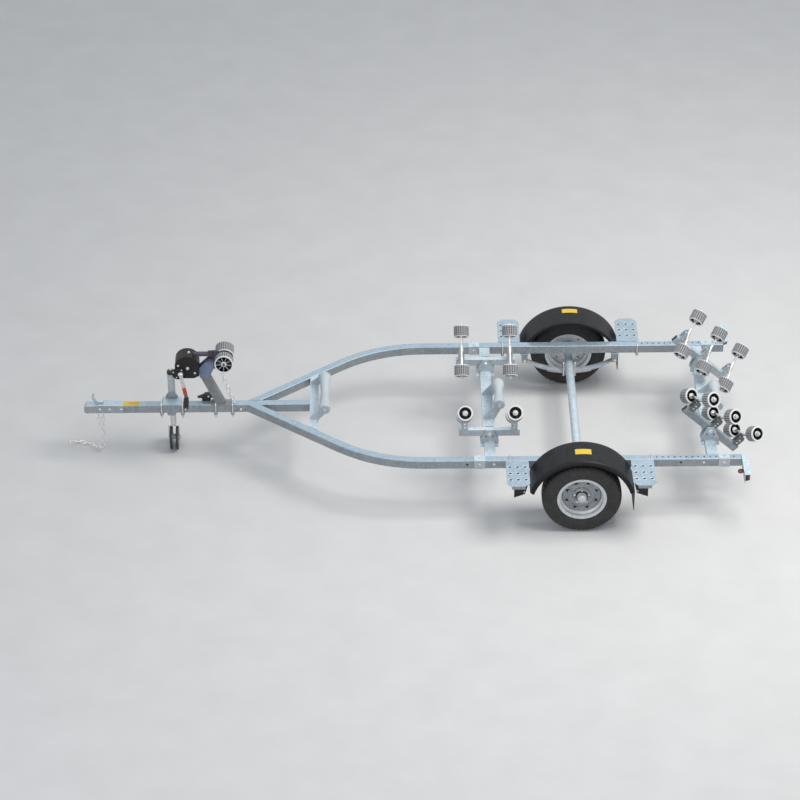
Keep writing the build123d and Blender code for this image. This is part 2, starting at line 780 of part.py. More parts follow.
# Coupler: a pressed shell over the drawbar with a domed nose and a ball socket underneath
coupler_half = 37.0
coupler_low = 414.0
coupler_high = 484.0
ball_radius = 25.1
coupler_rear = nose_x - coupler_length
ball_x = nose_x - 62
lug_x = ball_x - 80
short_chain_x = lug_x + 34
lug_hole_z = coupler_low - 13
hook_radius = 7.0
with BuildPart() as coupler:
    with BuildSketch(Plane.XZ):
        with BuildLine():
            Polyline(
                (nose_x - 30, coupler_low),
                (coupler_rear, coupler_low),
                (coupler_rear, coupler_high),
                (nose_x - 150, coupler_high + 6),
                (nose_x - 50, coupler_high),
            )
            ThreePointArc(
                (nose_x - 50, coupler_high), (nose_x - 10, coupler_high - 18), (nose_x, coupler_low + 22)
            )
            Polyline((nose_x, coupler_low + 22), (nose_x, coupler_low), (nose_x - 30, coupler_low))
        make_face()
    extrude(amount=coupler_half, both=True)
    with BuildSketch(Plane.XY.offset(coupler_low - 1)):
        with BuildLine():
            Polyline(
                (nose_x - coupler_half, coupler_half),
                (coupler_rear, coupler_half),
                (coupler_rear, -coupler_half),
                (nose_x - coupler_half, -coupler_half),
            )
            ThreePointArc(
                (nose_x - coupler_half, -coupler_half), (nose_x, 0), (nose_x - coupler_half, coupler_half)
            )
        make_face()
    extrude(amount=coupler_high - coupler_low + 20, mode=Mode.INTERSECT)
    drawbar_part = (drawbar_front - coupler_rear) / 2
    with Locations((coupler_rear + drawbar_part, 0, rail_mid_z)):
        Box(2 * drawbar_part, drawbar_width, rail_height, mode=Mode.SUBTRACT)
    with Locations((ball_x, 0, coupler_low + 16)):
        Cylinder(ball_radius, 33, mode=Mode.SUBTRACT)
        with Locations((0, 0, 16)):
            Sphere(ball_radius, mode=Mode.SUBTRACT)
    with Locations(((lug_x + short_chain_x) / 2, 0, coupler_low - 11)):
        Box(short_chain_x - lug_x + 26, plate, 24)
    with Locations((lug_x, 0, lug_hole_z), (short_chain_x, 0, lug_hole_z)):
        Cylinder(hook_radius, plate + 2, rotation=(90, 0, 0), mode=Mode.SUBTRACT)
save(coupler, "coupler")

with BuildPart() as coupler_latch:
    latch_x = nose_x - 120
    with Locations((latch_x, 0, coupler_high + 14)):
        Box(60, 24, 16)
save(coupler_latch, "coupler_latch")

# Winch post: a leaning tube on a base plate
post_axis = Vector(sin(radians(post_lean)), 0, cos(radians(post_lean)))
with BuildPart() as winch_post:
    with Locations((post_x, 0, rail_top + plate / 2)):
        Box(160, drawbar_width + 16, plate)
    with BuildSketch(Plane(origin=(post_x, 0, rail_top + plate - 20), x_dir=(0, 1, 0), z_dir=post_axis)):
        tube_section(post_width, post_depth)
    extrude(amount=post_height)
    split(bisect_by=Plane.XY.offset(rail_top), keep=Keep.TOP)
save(winch_post, "winch_post")

# Winch housing: an arched cover, hollow below, around the drum
winch_shoulder = 88.0
gear_cover_radius = 46.0
gear_cover_depth = 14.0
winch_arch = (winch_length**2 / 4 + winch_shoulder**2) / 2 / winch_shoulder
with BuildPart() as winch_housing:
    for inset, half in ((0, winch_width / 2), (4, winch_width / 2 - 4)):
        with BuildSketch(Plane(origin=(winch_x, 0, 0), x_dir=(1, 0, 0), z_dir=(0, -1, 0))):
            with BuildLine():
                Polyline(
                    (-winch_length / 2 + inset, winch_top - winch_shoulder),
                    (-winch_length / 2 + inset, winch_bottom + 20 - 30 * (inset > 0)),
                    (-winch_length / 2 + 40, winch_bottom - 10 * (inset > 0)),
                    (winch_length / 2 - 30, winch_bottom - 10 * (inset > 0)),
                    (winch_length / 2 - inset, winch_bottom + 40),
                    (winch_length / 2 - inset, winch_top - winch_shoulder),
                )
                ThreePointArc(
                    (winch_length / 2 - inset, winch_top - winch_shoulder),
                    (0, winch_top - inset),
                    (-winch_length / 2 + inset, winch_top - winch_shoulder),
                )
            make_face()
        extrude(amount=half, both=True, mode=Mode.ADD if inset == 0 else Mode.SUBTRACT)
    with Locations((crank_x + 18, winch_width / 2 + gear_cover_depth / 2, crank_z - 14)):
        Cylinder(gear_cover_radius, gear_cover_depth, rotation=(90, 0, 0))
    with Locations((crank_x, 0, crank_z)):
        Cylinder(crank_shaft_radius + 0.05, 2 * winch_width, rotation=(90, 0, 0), mode=Mode.SUBTRACT)
save(winch_housing, "winch_housing")

# Bow bracket: a channel arm and a strap from the winch to a plate between the bow rollers
arm_half = post_width / 2 + 4
bow_hole_x = bow_x + 40
bow_hole_z = bow_z - 78
cheek_back = 82.0
winch_back = winch_x - winch_length / 2 - bow_x
with BuildPart() as bow_bracket:
    for side in (1, -1):
        with BuildSketch(
            Plane(origin=(bow_x, side * (arm_half - 2), bow_z), x_dir=(1, 0, 0), z_dir=(0, -1, 0))
        ):
            with BuildLine():
                Polyline(
                    (winch_back, -169),
                    (120, -169),
                    (cheek_back, -89),
                    (cheek_back, 1),
                    (112, 1),
                    (winch_back, -79),
                    close=True,
                )
            make_face()
        extrude(amount=2, both=True)
    with BuildSketch(Plane(origin=(bow_x, 0, bow_z), x_dir=(1, 0, 0), z_dir=(0, -1, 0))):
        with BuildLine():
            Polyline(
                (120, 58),
                (120, -104),
                (28, -104),
                (-22, -22),
                (-22, 22),
                (60, 62),
                close=True,
            )
        make_face()
    extrude(amount=5, both=True)
    with Locations((bow_hole_x, 0, bow_hole_z)):
        Cylinder(hook_radius, 12, rotation=(90, 0, 0), mode=Mode.SUBTRACT)
    with Locations((bow_x + 110, 0, bow_z - 52)):
        Box(8, 2 * arm_half - 2, 100)
    with Locations((bow_x + 160, 0, winch_top - 14)):
        Box(140, 30, 24)
    with Locations((winch_x, 0, winch_top - winch_arch)):
        Cylinder(winch_arch + running_gap, 40, rotation=(90, 0, 0), mode=Mode.SUBTRACT)
    for side in (1, -1):
        with BuildSketch(
            Plane(
                origin=(bow_x, 0, bow_z - bow_roller_y * tan(radians(bow_tilt))),
                z_dir=(0, side * cos(radians(bow_tilt)), sin(radians(bow_tilt))),
            )
        ):
            Circle(bow_pin_radius)
        extrude(amount=bow_roller_y / cos(radians(bow_tilt)) + bow_length / 2 + 8)
save(bow_bracket, "bow_bracket")

for name, side in (("left", 1), ("right", -1)):
    with BuildPart() as bow_roller:
        with BuildSketch(Plane.XZ):
            with BuildLine():
                Polyline(
                    (bow_pin_radius + running_gap, -bow_length / 2),
                    (18, -bow_length / 2),
                    (18, -8),
                    (bow_radius - 9, -8),
                    (bow_radius - 9, -bow_length / 2),
                    (bow_radius - 4, -bow_length / 2),
                    (bow_radius, -bow_length / 2 + 6),
                    (bow_radius, bow_length / 2 - 6),
                    (bow_radius - 4, bow_length / 2),
                    (bow_radius - 9, bow_length / 2),
                    (bow_radius - 9, 8),
                    (18, 8),
                    (18, bow_length / 2),
                    (bow_pin_radius + running_gap, bow_length / 2),
                    close=True,
                )
            make_face()
        revolve(axis=Axis.Z)
    with BuildPart() as placed_bow_roller:
        bow_plane = Plane(
            origin=(bow_x, side * bow_roller_y, bow_z),
            x_dir=(1, 0, 0),
            z_dir=(0, side * cos(radians(bow_tilt)), sin(radians(bow_tilt))),
        )
        with Locations(bow_plane.location):
            add(bow_roller.part)
    save(placed_bow_roller, f"bow_roller_{name}")

# Winch crank: its shaft with the drum, the arm and the grip
with BuildPart() as winch_crank:
    with Locations((crank_x, 0, crank_z)):
        Cylinder(crank_shaft_radius, winch_width + 16, rotation=(90, 0, 0))
    with Locations((crank_x, winch_width / 2 + 17, crank_z)):
        Cylinder(crank_shaft_radius, 34, rotation=(90, 0, 0))
    with Locations((crank_x, crank_arm_y - 8, crank_z)):
        Cylinder(16, 11, rotation=(90, 0, 0))
    with BuildSketch(
        Plane(
            origin=(crank_x, crank_arm_y, crank_z),
            x_dir=(cos(radians(crank_angle)), 0, -sin(radians(crank_angle))),
            z_dir=(0, -1, 0),
        )
    ):
        with Locations((0, -crank_throw / 2)):
            SlotOverall(crank_throw + 28, 28, rotation=90)
    extrude(amount=3, both=True)
    with Locations(
        (
            crank_x - crank_throw * sin(radians(crank_angle)),
            crank_arm_y + 3 + crank_grip / 2,
            crank_z - crank_throw * cos(radians(crank_angle)),
        )
    ):
        Cylinder(16, crank_grip, rotation=(90, 0, 0))
save(winch_crank, "winch_crank")

# Jack: clamp and outer tube, the leg that slides in it, the swivelling fork and its twin wheel
with BuildPart() as jack_clamp:
    with Locations((jack_x, jack_y, (jack_top + jack_bottom) / 2)):
        Cylinder(jack_outer_radius, jack_top - jack_bottom)
    clamp_inner = -drawbar_width / 2
    with Locations((jack_x, (clamp_inner + jack_y) / 2, rail_mid_z)):
        Box(150, clamp_inner - jack_y, rail_height)
    with Locations((jack_x, (30 + clamp_inner - 8) / 2, rail_top + plate / 2)):
        Box(170, drawbar_width + 8, plate)
    with Locations((jack_x, jack_y, jack_bottom + (jack_top - jack_bottom) / 2 - 6)):
        Cylinder(jack_inner_radius + running_gap, jack_top - jack_bottom, mode=Mode.SUBTRACT)
save(jack_clamp, "jack_clamp")

with BuildPart() as jack_leg:
    with Locations((jack_x, jack_y, (jack_inner_top + fork_top) / 2)):
        Cylinder(jack_inner_radius, jack_inner_top - fork_top)
save(jack_leg, "jack_leg")

with BuildPart() as jack_fork:
    with Locations((jack_x, jack_y, fork_top - 4)):
        Box(2 * fork_half_width, 36, 7.4)
    for end in (1, -1):
        with Locations(
            (jack_x + end * (fork_half_width - 2.5), jack_y, (fork_top + jockey_axle_z - 20) / 2 - 4)
        ):
            Box(5, 36, fork_top - jockey_axle_z + 20)
    with Locations((jack_x, jack_y, jockey_axle_z)):
        Cylinder(7, 2 * fork_half_width + 6, rotation=(0, 90, 0))
save(jack_fork, "jack_fork")

with BuildPart() as jockey_wheels:
    for end in (1, -1):
        with Locations((jack_x + end * jockey_spacing / 2, jack_y, jockey_axle_z)):
            Cylinder(jockey_radius, jockey_width, rotation=(0, 90, 0))
    with Locations((jack_x, jack_y, jockey_axle_z)):
        Cylinder(20, 2 * (fork_half_width - 5 - running_gap), rotation=(0, 90, 0))
        Cylinder(7.05, 2 * fork_half_width, rotation=(0, 90, 0), mode=Mode.SUBTRACT)
save(jockey_wheels, "jockey_wheels")

# Holder on the drawbar's right side with the plug parked in it
plug_x = post_x + 120.0
plug_z = rail_top + 22.0
plug_angle = 12.0
with BuildPart() as plug_holder:
    with BuildSketch(Plane(origin=(plug_x, -drawbar_width / 2, 0), x_dir=(1, 0, 0), z_dir=(0, -1, 0))):
        with BuildLine():
            Polyline(
                (-34, rail_mid_z - 12),
                (34, rail_mid_z - 12),
                (34, plug_z),
                (18, plug_z + 36),
                (-34, plug_z + 36),
                close=True,
            )
        make_face()
    extrude(amount=plate)
    plug_plane = Plane(
        origin=(plug_x - 52, -drawbar_width / 2 - plate - 26, plug_z + 14),
        z_dir=(cos(radians(plug_angle)), 0, -sin(radians(plug_angle))),
    )
    with BuildSketch(plug_plane):
        Circle(26)
    extrude(amount=64)
    with BuildSketch(plug_plane.offset(64)):
        Circle(20)
    with BuildSketch(plug_plane.offset(122)):
        Circle(9)
    loft()
save(plug_holder, "plug_holder")

# Chains: round links, each turned a quarter from the one before it
link_wire = 3.5
link_width = 11.0
link_straight = 12.0
link_reach = link_straight + link_width
link_pitch = 2 * (link_reach - link_wire) - running_gap

def hook_drop(sheet):
    """How far below its hole's middle a chain's first joint hangs, when the hole is in a sheet."""
    inner = link_width - link_wire
    arch = inner - sqrt(inner**2 - (sheet / 2) ** 2)
    return hook_radius - link_wire - running_gap + link_reach - link_pitch / 2 - arch


lug_drop = hook_drop(plate)
bow_drop = hook_drop(2 * plate)
chain_bend = 90.0
chain_samples = 4000
bow_lean = 12.5
short_links = 3
with BuildPart() as link:
    with BuildLine(Plane.XZ) as link_path:
        right_run = Line((link_width, -link_straight), (link_width, link_straight))
        top_turn = ThreePointArc(
            right_run @ 1, (0, link_straight + link_width), (-link_width, link_straight)
        )
        left_run = Line(top_turn @ 1, (-link_width, -link_straight))
        ThreePointArc(left_run @ 1, (0, -link_straight - link_width), right_run @ 0)
    with BuildSketch(Plane(origin=(link_width, 0, 0), z_dir=(0, 0, 1))):
        Circle(link_wire)
    sweep(path=link_path.wires()[0])


def chain_places(wire, first_roll, last_roll):
    """Planes one pitch apart along a path, each turned a quarter about it from the one before."""
    joints = [wire @ 0]
    for number in range(1, chain_samples + 1):
        point = wire @ (number / chain_samples)
        if (point - joints[-1]).length >= link_pitch:
            joints.append(point)
    left_over = (wire @ 1 - joints[-1]).length
    print("chain of", len(joints) - 1, "links, with", round(left_over, 2), "mm left over")
    places = []
    for number, (first, second) in enumerate(zip(joints, joints[1:])):
        along = (second - first).normalized()
        side = Vector(0, 1, 0) if abs(along.Y) < 0.8 else Vector(1, 0, 0)
        across = side.cross(along).normalized()
        roll = radians(first_roll + (last_roll - first_roll) * min(1, number / 8) + 90 * number)
        rolled = across * cos(roll) + along.cross(across) * sin(roll)
        places.append(Plane(origin=(first + second) * 0.5, x_dir=rolled, z_dir=along))
    return places


# The safety chain hangs from the coupler's lug, turns on the ground and runs forward and to the right
chain_ground = 13.5
chain_lean = 3.1
chain_end_x = half_length - 7
chain_end_y = -140.0
foot_top = chain_ground + chain_bend * (1 - sin(radians(chain_lean)))
aside = cos(radians(45))
hook_reach = lug_drop * sin(radians(chain_lean)) * aside
drop_reach = (lug_hole_z - foot_top) * tan(radians(chain_lean)) * aside
foot_reach = drop_reach + chain_bend * cos(radians(chain_lean)) * aside
with BuildLine() as safety_path:
    drop = Line(
        (lug_x + hook_reach, -hook_reach, lug_hole_z - lug_drop * cos(radians(chain_lean))),
        (lug_x + drop_reach, -drop_reach, foot_top),
    )
    foot = TangentArc(drop @ 1, (lug_x + foot_reach, -foot_reach, chain_ground), tangent=drop % 1)
    TangentArc(foot @ 1, (chain_end_x, chain_end_y, chain_ground), tangent=(1, -1, 0))

# The bow chain hangs from the plate between the bow rollers down to the drawbar
with BuildLine() as bow_path:
    ThreePointArc(
        (bow_hole_x - bow_drop * sin(radians(bow_lean)), 0, bow_hole_z - bow_drop * cos(radians(bow_lean))),
        (bow_x - 3, 6, 660),
        (bow_x - 62, 12, rail_top + link_wire + link_reach - link_pitch / 2 + running_gap),
    )

# A short end of chain hangs from the lug's second hole
with BuildLine() as short_path:
    Line(
        (short_chain_x, 0, lug_hole_z - lug_drop),
        (short_chain_x, 0, lug_hole_z - lug_drop - short_links * link_pitch - 1),
    )

# Each chain's strands, with the roll that its lower links settle to
for name, strands in (
    ("safety_chain", ((safety_path, 45.0), (short_path, 90.0))),
    ("bow_chain", ((bow_path, 90.0),)),
):
    with BuildPart() as chain:
        for strand, last_roll in strands:
            for place in chain_places(strand.wires()[0], 90.0, last_roll):
                with Locations(place.location):
                    add(link.part)
    save(chain, name)
    reach = chain.part.bounding_box()
    print(name, "reaches X", round(reach.max.X, 2), "and Z", round(reach.min.Z, 2))

print(len(os.listdir("parts")), "pieces written")
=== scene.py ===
"""Blender scene of the boat trailer: finished materials, detailed pieces, stage, light and camera.

Lengths are in millimetres and X is counted forward from the axle, as in the part's source.
at() turns them into the frame's metres.
"""

from math import acos, cos, degrees, pi, radians, sin, sqrt

import bpy
from mathutils import Matrix, Vector


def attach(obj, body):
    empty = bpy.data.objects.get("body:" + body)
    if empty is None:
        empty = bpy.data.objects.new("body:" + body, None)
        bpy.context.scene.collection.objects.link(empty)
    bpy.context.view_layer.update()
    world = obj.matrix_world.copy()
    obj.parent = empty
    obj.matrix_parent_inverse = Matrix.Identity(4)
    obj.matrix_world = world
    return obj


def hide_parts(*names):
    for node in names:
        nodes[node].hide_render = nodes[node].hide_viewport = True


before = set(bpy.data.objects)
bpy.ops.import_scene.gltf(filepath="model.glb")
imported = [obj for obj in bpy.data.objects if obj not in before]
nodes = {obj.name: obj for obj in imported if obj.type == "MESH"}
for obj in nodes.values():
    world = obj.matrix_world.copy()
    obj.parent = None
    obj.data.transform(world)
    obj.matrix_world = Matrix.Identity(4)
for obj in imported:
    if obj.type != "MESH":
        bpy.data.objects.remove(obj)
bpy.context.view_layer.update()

# Measures repeated from the part's source
AXLE_X, AXLE_Z = -1250, 295
WHEEL_Y = 925
RAIL_TOP = 480
RAIL_Y, RAIL_OUTER, RAIL_INNER = 728, 758, 698
BEAM_Y = 450
FRONT_X, MIDDLE_X, REAR_X = 1978, 665, -978.806
FRONT_PIVOT_Z, REAR_PIVOT_Z = 522, 534
REAR_PITCH, STEM_TILT, BOW_TILT = 43, 45, 12
# a roller's middle, as (outward, up) from the middle of the cradle's beam
OUTER_ROLLER = (81, 222)
INNER_ROLLER = (-163, 26)
ROLLER_R, ROLLER_L = 58, 86
JACK_X, JACK_Y, JOCKEY_Z = 3055, -82, 103
SPRING_Y, SPRING_HALF, EYE_Z = 710, 350, 354
# the guards' arc: its middle's height, its top's radius, and the angle of its ends above level
GUARD_Z, GUARD_TOP_R, GUARD_END = 253, 400, 16.4
LAMP_TOP, LAMP_BACK = 486, -1194

SIDES = ((1, "left"), (-1, "right"))
X = Vector((1, 0, 0))
Y = Vector((0, 1, 0))
Z = Vector((0, 0, 1))


# ---- materials


def fill(node, values):
    """Sets a node's numbers. A socket's name has _ for its spaces."""
    for name, value in values.items():
        node.inputs[name.replace("_", " ")].default_value = value


class Tree:
    """The node tree of a material or a world."""

    def __init__(self, owner):
        owner.use_nodes = True
        self.tree = owner.node_tree
        self.tree.nodes.clear()

    def node(self, kind, **values):
        node = self.tree.nodes.new("ShaderNode" + kind)
        fill(node, values)
        return node

    def link(self, a, b):
        self.tree.links.new(a, b)

    def combined(self, operation, a, b):
        """Two numbers combined. Each is a socket's output or a plain value."""
        node = self.node("Math")
        node.operation = operation
        self.feed(a, node.inputs[0])
        self.feed(b, node.inputs[1])
        return node.outputs[0]

    def feed(self, value, socket):
        if hasattr(value, "is_output"):
            self.link(value, socket)
        else:
            socket.default_value = value


class Graph(Tree):
    """A material's nodes, with short calls for the textures used below."""

    def __init__(self, name):
        self.material = bpy.data.materials.new(name)
        super().__init__(self.material)
        out = self.node("OutputMaterial")
        self.shader = self.node("BsdfPrincipled")
        self.link(self.shader.outputs["BSDF"], out.inputs["Surface"])
        self.coords = self.node("TexCoord").outputs["Object"]

    def texture(self, kind, coords=None, **values):
        """A node that reads the object's coordinates, or others."""
        node = self.node(kind, **values)
        self.link(coords or self.coords, node.inputs["Vector"])
        return node

    def stretched(self, scale):
        """The coordinates scaled along each axis, for streaks and brushing."""
        return self.texture("Mapping", Scale=scale).outputs["Vector"]

    def noise(self, scale, detail=4.0, rough=0.55, coords=None):
        node = self.texture("TexNoise", coords, Scale=scale, Detail=detail, Roughness=rough)
        return node.outputs["Fac"]

    def cells(self, scale):
        """One random grey for each cell."""
        node = self.texture("TexVoronoi", Scale=scale)
        split = self.node("SeparateColor")
        self.link(node.outputs["Color"], split.inputs[0])
        return split.outputs[0]

    def ramp(self, value, *stops):
        """Colours spread over a value, from (position, colour) pairs."""
        node = self.node("ValToRGB")
        elements = node.color_ramp.elements
        for element, (position, colour) in zip(elements, (stops[0], stops[-1])):
            element.position, element.color = position, colour
        for position, colour in stops[1:-1]:
            elements.new(position).color = colour
        self.link(value, node.inputs["Fac"])
        return node.outputs["Color"]

    def mix(self, factor, a, b):
        node = self.node("Mix")
        node.data_type = "RGBA"
        for value, number in ((factor, 0), (a, 6), (b, 7)):
            self.feed(value, node.inputs[number])
        return node.outputs[2]

    def span(self, value, low, high, out_low, out_high):
        """A value's range mapped to another range."""
        node = self.node("MapRange", From_Min=low, From_Max=high, To_Min=out_low, To_Max=out_high)
        self.link(value, node.inputs["Value"])
        return node.outputs["Result"]

    def times(self, a, b):
        return self.combined("MULTIPLY", a, b)

    def plus(self, a, b):
        return self.combined("ADD", a, b)

    def along(self, vector, axis):
        """One axis of a vector."""
        split = self.node("SeparateXYZ")
        self.link(vector, split.inputs[0])
        return split.outputs[axis]

    def upward(self):
        """How far a face looks up, from 0 to 1."""
        normal = self.node("NewGeometry").outputs["Normal"]
        return self.span(self.along(normal, "Z"), 0.2, 1.0, 0.0, 1.0)

    def bump(self, height, strength, distance):
        node = self.node("Bump", Strength=strength, Distance=distance)
        self.link(height, node.inputs["Height"])
        self.link(node.outputs["Normal"], self.shader.inputs["Normal"])

    def finish(self, colour, rough, **values):
        """Feeds the shader and returns the material."""
        self.link(colour, self.shader.inputs["Base Color"])
        self.link(rough, self.shader.inputs["Roughness"])
        fill(self.shader, values)
        return self.material


def grey(level, blue=0.0):
    """A grey, or a cold one that leans to light blue."""
    high = min(1.0, level * (1 + blue * 0.9))
    return (level * (1 - blue * 1.7), level * (1 - blue * 0.25), high, 1.0)


def scaled(colour, factor, lift=0.0):
    """An opaque colour made darker or lighter."""
    return tuple(min(1.0, c * factor + lift) for c in colour) + (1.0,)


def galvanised(name, dark, light, spangle, metallic, soft=0.0, blue=0.07, sky_reflection=0.8):
    """Hot-dip zinc: random spangle cells, a cloudy bloom, rain streaks and fine pitting.

    Faces that look up get a painted reflection of a blue sky: they are lighter and bluer, by the
    given amount.
    """
    g = Graph(name)
    cell = g.plus(g.times(g.cells(spangle), 0.7), g.times(g.cells(spangle * 2.7), 0.3))
    middle = grey((dark + light) / 2, blue)
    base = g.ramp(cell, (0.0, grey(dark, blue)), (0.55, middle), (1.0, grey(light, blue)))
    bloom = g.span(g.noise(5.0, 5.0, 0.6), 0.35, 0.7, 0.0, 0.5)
    base = g.mix(bloom, base, grey(light * 0.98, blue * 0.7))
    # painted reflection: a lighter, bluer sky colour, mixed below onto faces that look up
    painted_sky = g.ramp(cell, (0.0, grey(light * 1.2, blue * 2.5)), (1.0, grey(light * 1.52, blue * 2.2)))
    base = g.mix(g.times(g.upward(), sky_reflection), base, painted_sky)
    streak = g.noise(1.0, 4.0, 0.6, g.stretched((30.0, 30.0, 3.0)))
    grime = g.span(streak, 0.54, 0.8, 0.0, 0.32)
    base = g.mix(grime, base, (dark * 0.66, dark * 0.67, dark * 0.66, 1.0))
    rough = g.plus(g.span(cell, 0.0, 1.0, 0.34 + soft, 0.52 + soft), g.times(bloom, 0.16))
    g.bump(g.plus(g.times(cell, 0.5), g.noise(420.0, 3.0, 0.6)), 0.22, 0.0005)
    return g.finish(base, rough, Metallic=metallic)


def plated(name, level, rough, yellow=0.0):
    """Bright zinc plating with fine scratches and duller patches."""
    g = Graph(name)
    patch = g.noise(38.0, 5.0, 0.65)
    dull = (level * 0.74, level * (0.74 - yellow * 0.03), level * (0.73 - yellow * 0.12), 1.0)
    clean = (level, level * (1 - yellow * 0.02), level * (1 - yellow * 0.1), 1.0)
    g.bump(g.noise(1.0, 3.0, 0.6, g.stretched((900.0, 60.0, 900.0))), 0.12, 0.0003)
    rough = g.span(patch, 0.3, 0.7, rough + 0.14, rough)
    return g.finish(g.ramp(patch, (0.3, dull), (0.7, clean)), rough, Metallic=0.9)


def moulded(name, colour, rough, dust, grain=260.0, strength=0.25, mottled=0.12, shine=0.5):
    """Moulded plastic or rubber with grain, faint mottling and dust on what looks up."""
    g = Graph(name)
    cloud = g.noise(9.0, 5.0, 0.6)
    base = g.ramp(cloud, (0.3, scaled(colour, 1 - mottled)), (0.7, scaled(colour, 1 + mottled)))
    settled = g.times(g.upward(), g.span(g.noise(24.0, 6.0, 0.7), 0.35, 0.75, 0.0, dust))
    base = g.mix(settled, base, (0.42, 0.39, 0.35, 1.0))
    worn = g.span(g.noise(60.0, 3.0), 0.3, 0.7, rough - 0.05, rough + 0.08)
    g.bump(g.noise(grain, 4.0, 0.6), strength, 0.0006)
    return g.finish(base, g.plus(worn, g.times(settled, 0.3)), Specular_IOR_Level=shine)


def painted(name, colour, rough, chips=0.0):
    """Paint over steel with orange peel, scuffs and a few bare chips."""
    g = Graph(name)
    scuff = g.noise(46.0, 6.0, 0.7)
    base = g.ramp(scuff, (0.25, scaled(colour, 0.8)), (0.75, scaled(colour, 1.25, 0.006)))
    if chips:
        bare = g.span(g.noise(130.0, 5.0, 0.7), 0.70, 0.74, 0.0, chips)
        base = g.mix(bare, base, (0.33, 0.33, 0.33, 1.0))
    g.bump(g.noise(330.0, 2.0, 0.5), 0.16, 0.0004)
    rough = g.span(scuff, 0.3, 0.7, rough, rough + 0.15)
    return g.finish(base, rough, Coat_Weight=0.06, Coat_Roughness=0.3, Specular_IOR_Level=0.3)


def tyre_rubber(name):
    """Weathered tyre rubber, dusty in patches."""
    g = Graph(name)
    cloud = g.noise(14.0, 6.0, 0.65)
    base = g.ramp(cloud, (0.3, (0.020, 0.020, 0.022, 1)), (0.7, (0.048, 0.047, 0.046, 1)))
    dust = g.span(g.noise(70.0, 6.0, 0.75), 0.5, 0.78, 0.0, 0.38)
    g.bump(g.noise(520.0, 4.0, 0.65), 0.3, 0.0006)
    base = g.mix(dust, base, (0.17, 0.155, 0.135, 1))
    return g.finish(base, g.span(cloud, 0.3, 0.7, 0.62, 0.84), Specular_IOR_Level=0.35)


def lens(name, colour):
    """A moulded lamp lens with fine vertical flutes."""
    g = Graph(name)
    wave = g.texture("TexWave", Scale=110.0)
    wave.bands_direction = "Y"
    tint = g.ramp(g.noise(40.0, 3.0), (0.3, scaled(colour, 0.75)), (0.7, scaled(colour, 1.0)))
    g.bump(wave.outputs["Fac"], 0.35, 0.0008)
    rough = g.span(g.noise(90.0, 3.0), 0.3, 0.7, 0.12, 0.24)
    return g.finish(tint, rough, Coat_Weight=0.6, Coat_Roughness=0.08)


def strap(name):
    """The bow bracket's colours: a dark purple-grey strap above an arm whose blue-grey is painted
    sky light and shade on galvanised steel.
    """
    g = Graph(name)
    patch = g.noise(26.0, 5.0, 0.6)
    height = g.plus(g.along(g.coords, "Z"), g.times(patch, 0.01))
    # painted light: the galvanised arm is coloured as if in shade and lit blue by the sky
    arm = g.ramp(patch, (0.3, (0.15, 0.19, 0.29, 1)), (0.7, (0.24, 0.30, 0.44, 1)))
    band = g.ramp(patch, (0.3, (0.065, 0.06, 0.085, 1)), (0.7, (0.11, 0.10, 0.14, 1)))
    g.bump(g.noise(420.0, 3.0, 0.6), 0.2, 0.0005)
    base = g.mix(g.span(height, 0.868, 0.9, 0.0, 1.0), arm, band)
    return g.finish(base, g.span(patch, 0.3, 0.7, 0.45, 0.6), Metallic=0.3)


galv = galvanised("galvanised", 0.25, 0.43, 75.0, 0.5)
galv_rim = galvanised("galvanised_rim", 0.54, 0.76, 95.0, 0.35, -0.04, 0.035, 0.0)
# a darker copy of the rim's zinc that paints shade on the wheels' pressed discs
galv_disc_shaded = galvanised("galvanised_disc_painted_shade", 0.20, 0.40, 95.0, 0.55, -0.04, 0.05, 0.2)
# a lighter copy of the zinc that paints light on the parts that catch more of it
galv_lit = galvanised("galvanised_painted_light", 0.46, 0.64, 60.0, 0.4, 0.0, 0.06, 0.6)
galv_post = galvanised("galvanised_post", 0.19, 0.31, 60.0, 0.45, 0.06, 0.03, 0.4)
# a darker copy of the zinc that paints shade on the near rear cradle's brackets
galv_shade = galvanised("galvanised_painted_shade", 0.12, 0.22, 60.0, 0.4, 0.1, 0.06, 0.3)
cast_zinc = galvanised("coupler_zinc", 0.32, 0.50, 130.0, 0.6, -0.06, 0.06)
spring_steel = galvanised("spring_steel", 0.40, 0.58, 50.0, 0.4, 0.1, 0.04, 0.5)
bright = plated("bright_zinc", 0.80, 0.22)
yellow_zinc = plated("passivated_zinc", 0.66, 0.3, yellow=1.6)
chain_steel = plated("chain_zinc", 0.88, 0.3)
tyre = tyre_rubber("tyre_rubber")
# the roller plastic: the sleeves' grey is darkened as painted shade, and a lighter copy paints
# light on the roller ends and hubs; the groove and core colours below are painted shade
roller_grey = moulded("roller_grey", (0.37, 0.385, 0.40), 0.5, 0.08, 180.0, 0.18, 0.07)
roller_painted_light_edge = moulded("roller_painted_light_edge", (0.80, 0.81, 0.82), 0.45, 0.05, 180.0, 0.12, 0.05)
groove_painted_shade = moulded("roller_groove_painted_shade", (0.09, 0.09, 0.095), 0.6, 0.0)
roller_core_painted_shade = moulded("roller_core_painted_shade", (0.008, 0.008, 0.009), 0.6, 0.0)
keel_grey = moulded("keel_roller_grey", (0.54, 0.60, 0.64), 0.5, 0.08, 180.0, 0.18, 0.08)
guard_black = moulded("guard_black", (0.0065, 0.0085, 0.0115), 0.42, 0.04, 300.0, 0.3, shine=0.24)
flap_rubber = moulded("flap_rubber", (0.030, 0.026, 0.023), 0.66, 0.3, 200.0, 0.3)
grip_rubber = moulded("grip_rubber", (0.02, 0.02, 0.021), 0.6, 0.12)
lamp_black = moulded("lamp_black", (0.02, 0.02, 0.022), 0.38, 0.15)
label_yellow = moulded("label_yellow", (0.78, 0.56, 0.03), 0.35, 0.1, 120.0, 0.08, 0.05)
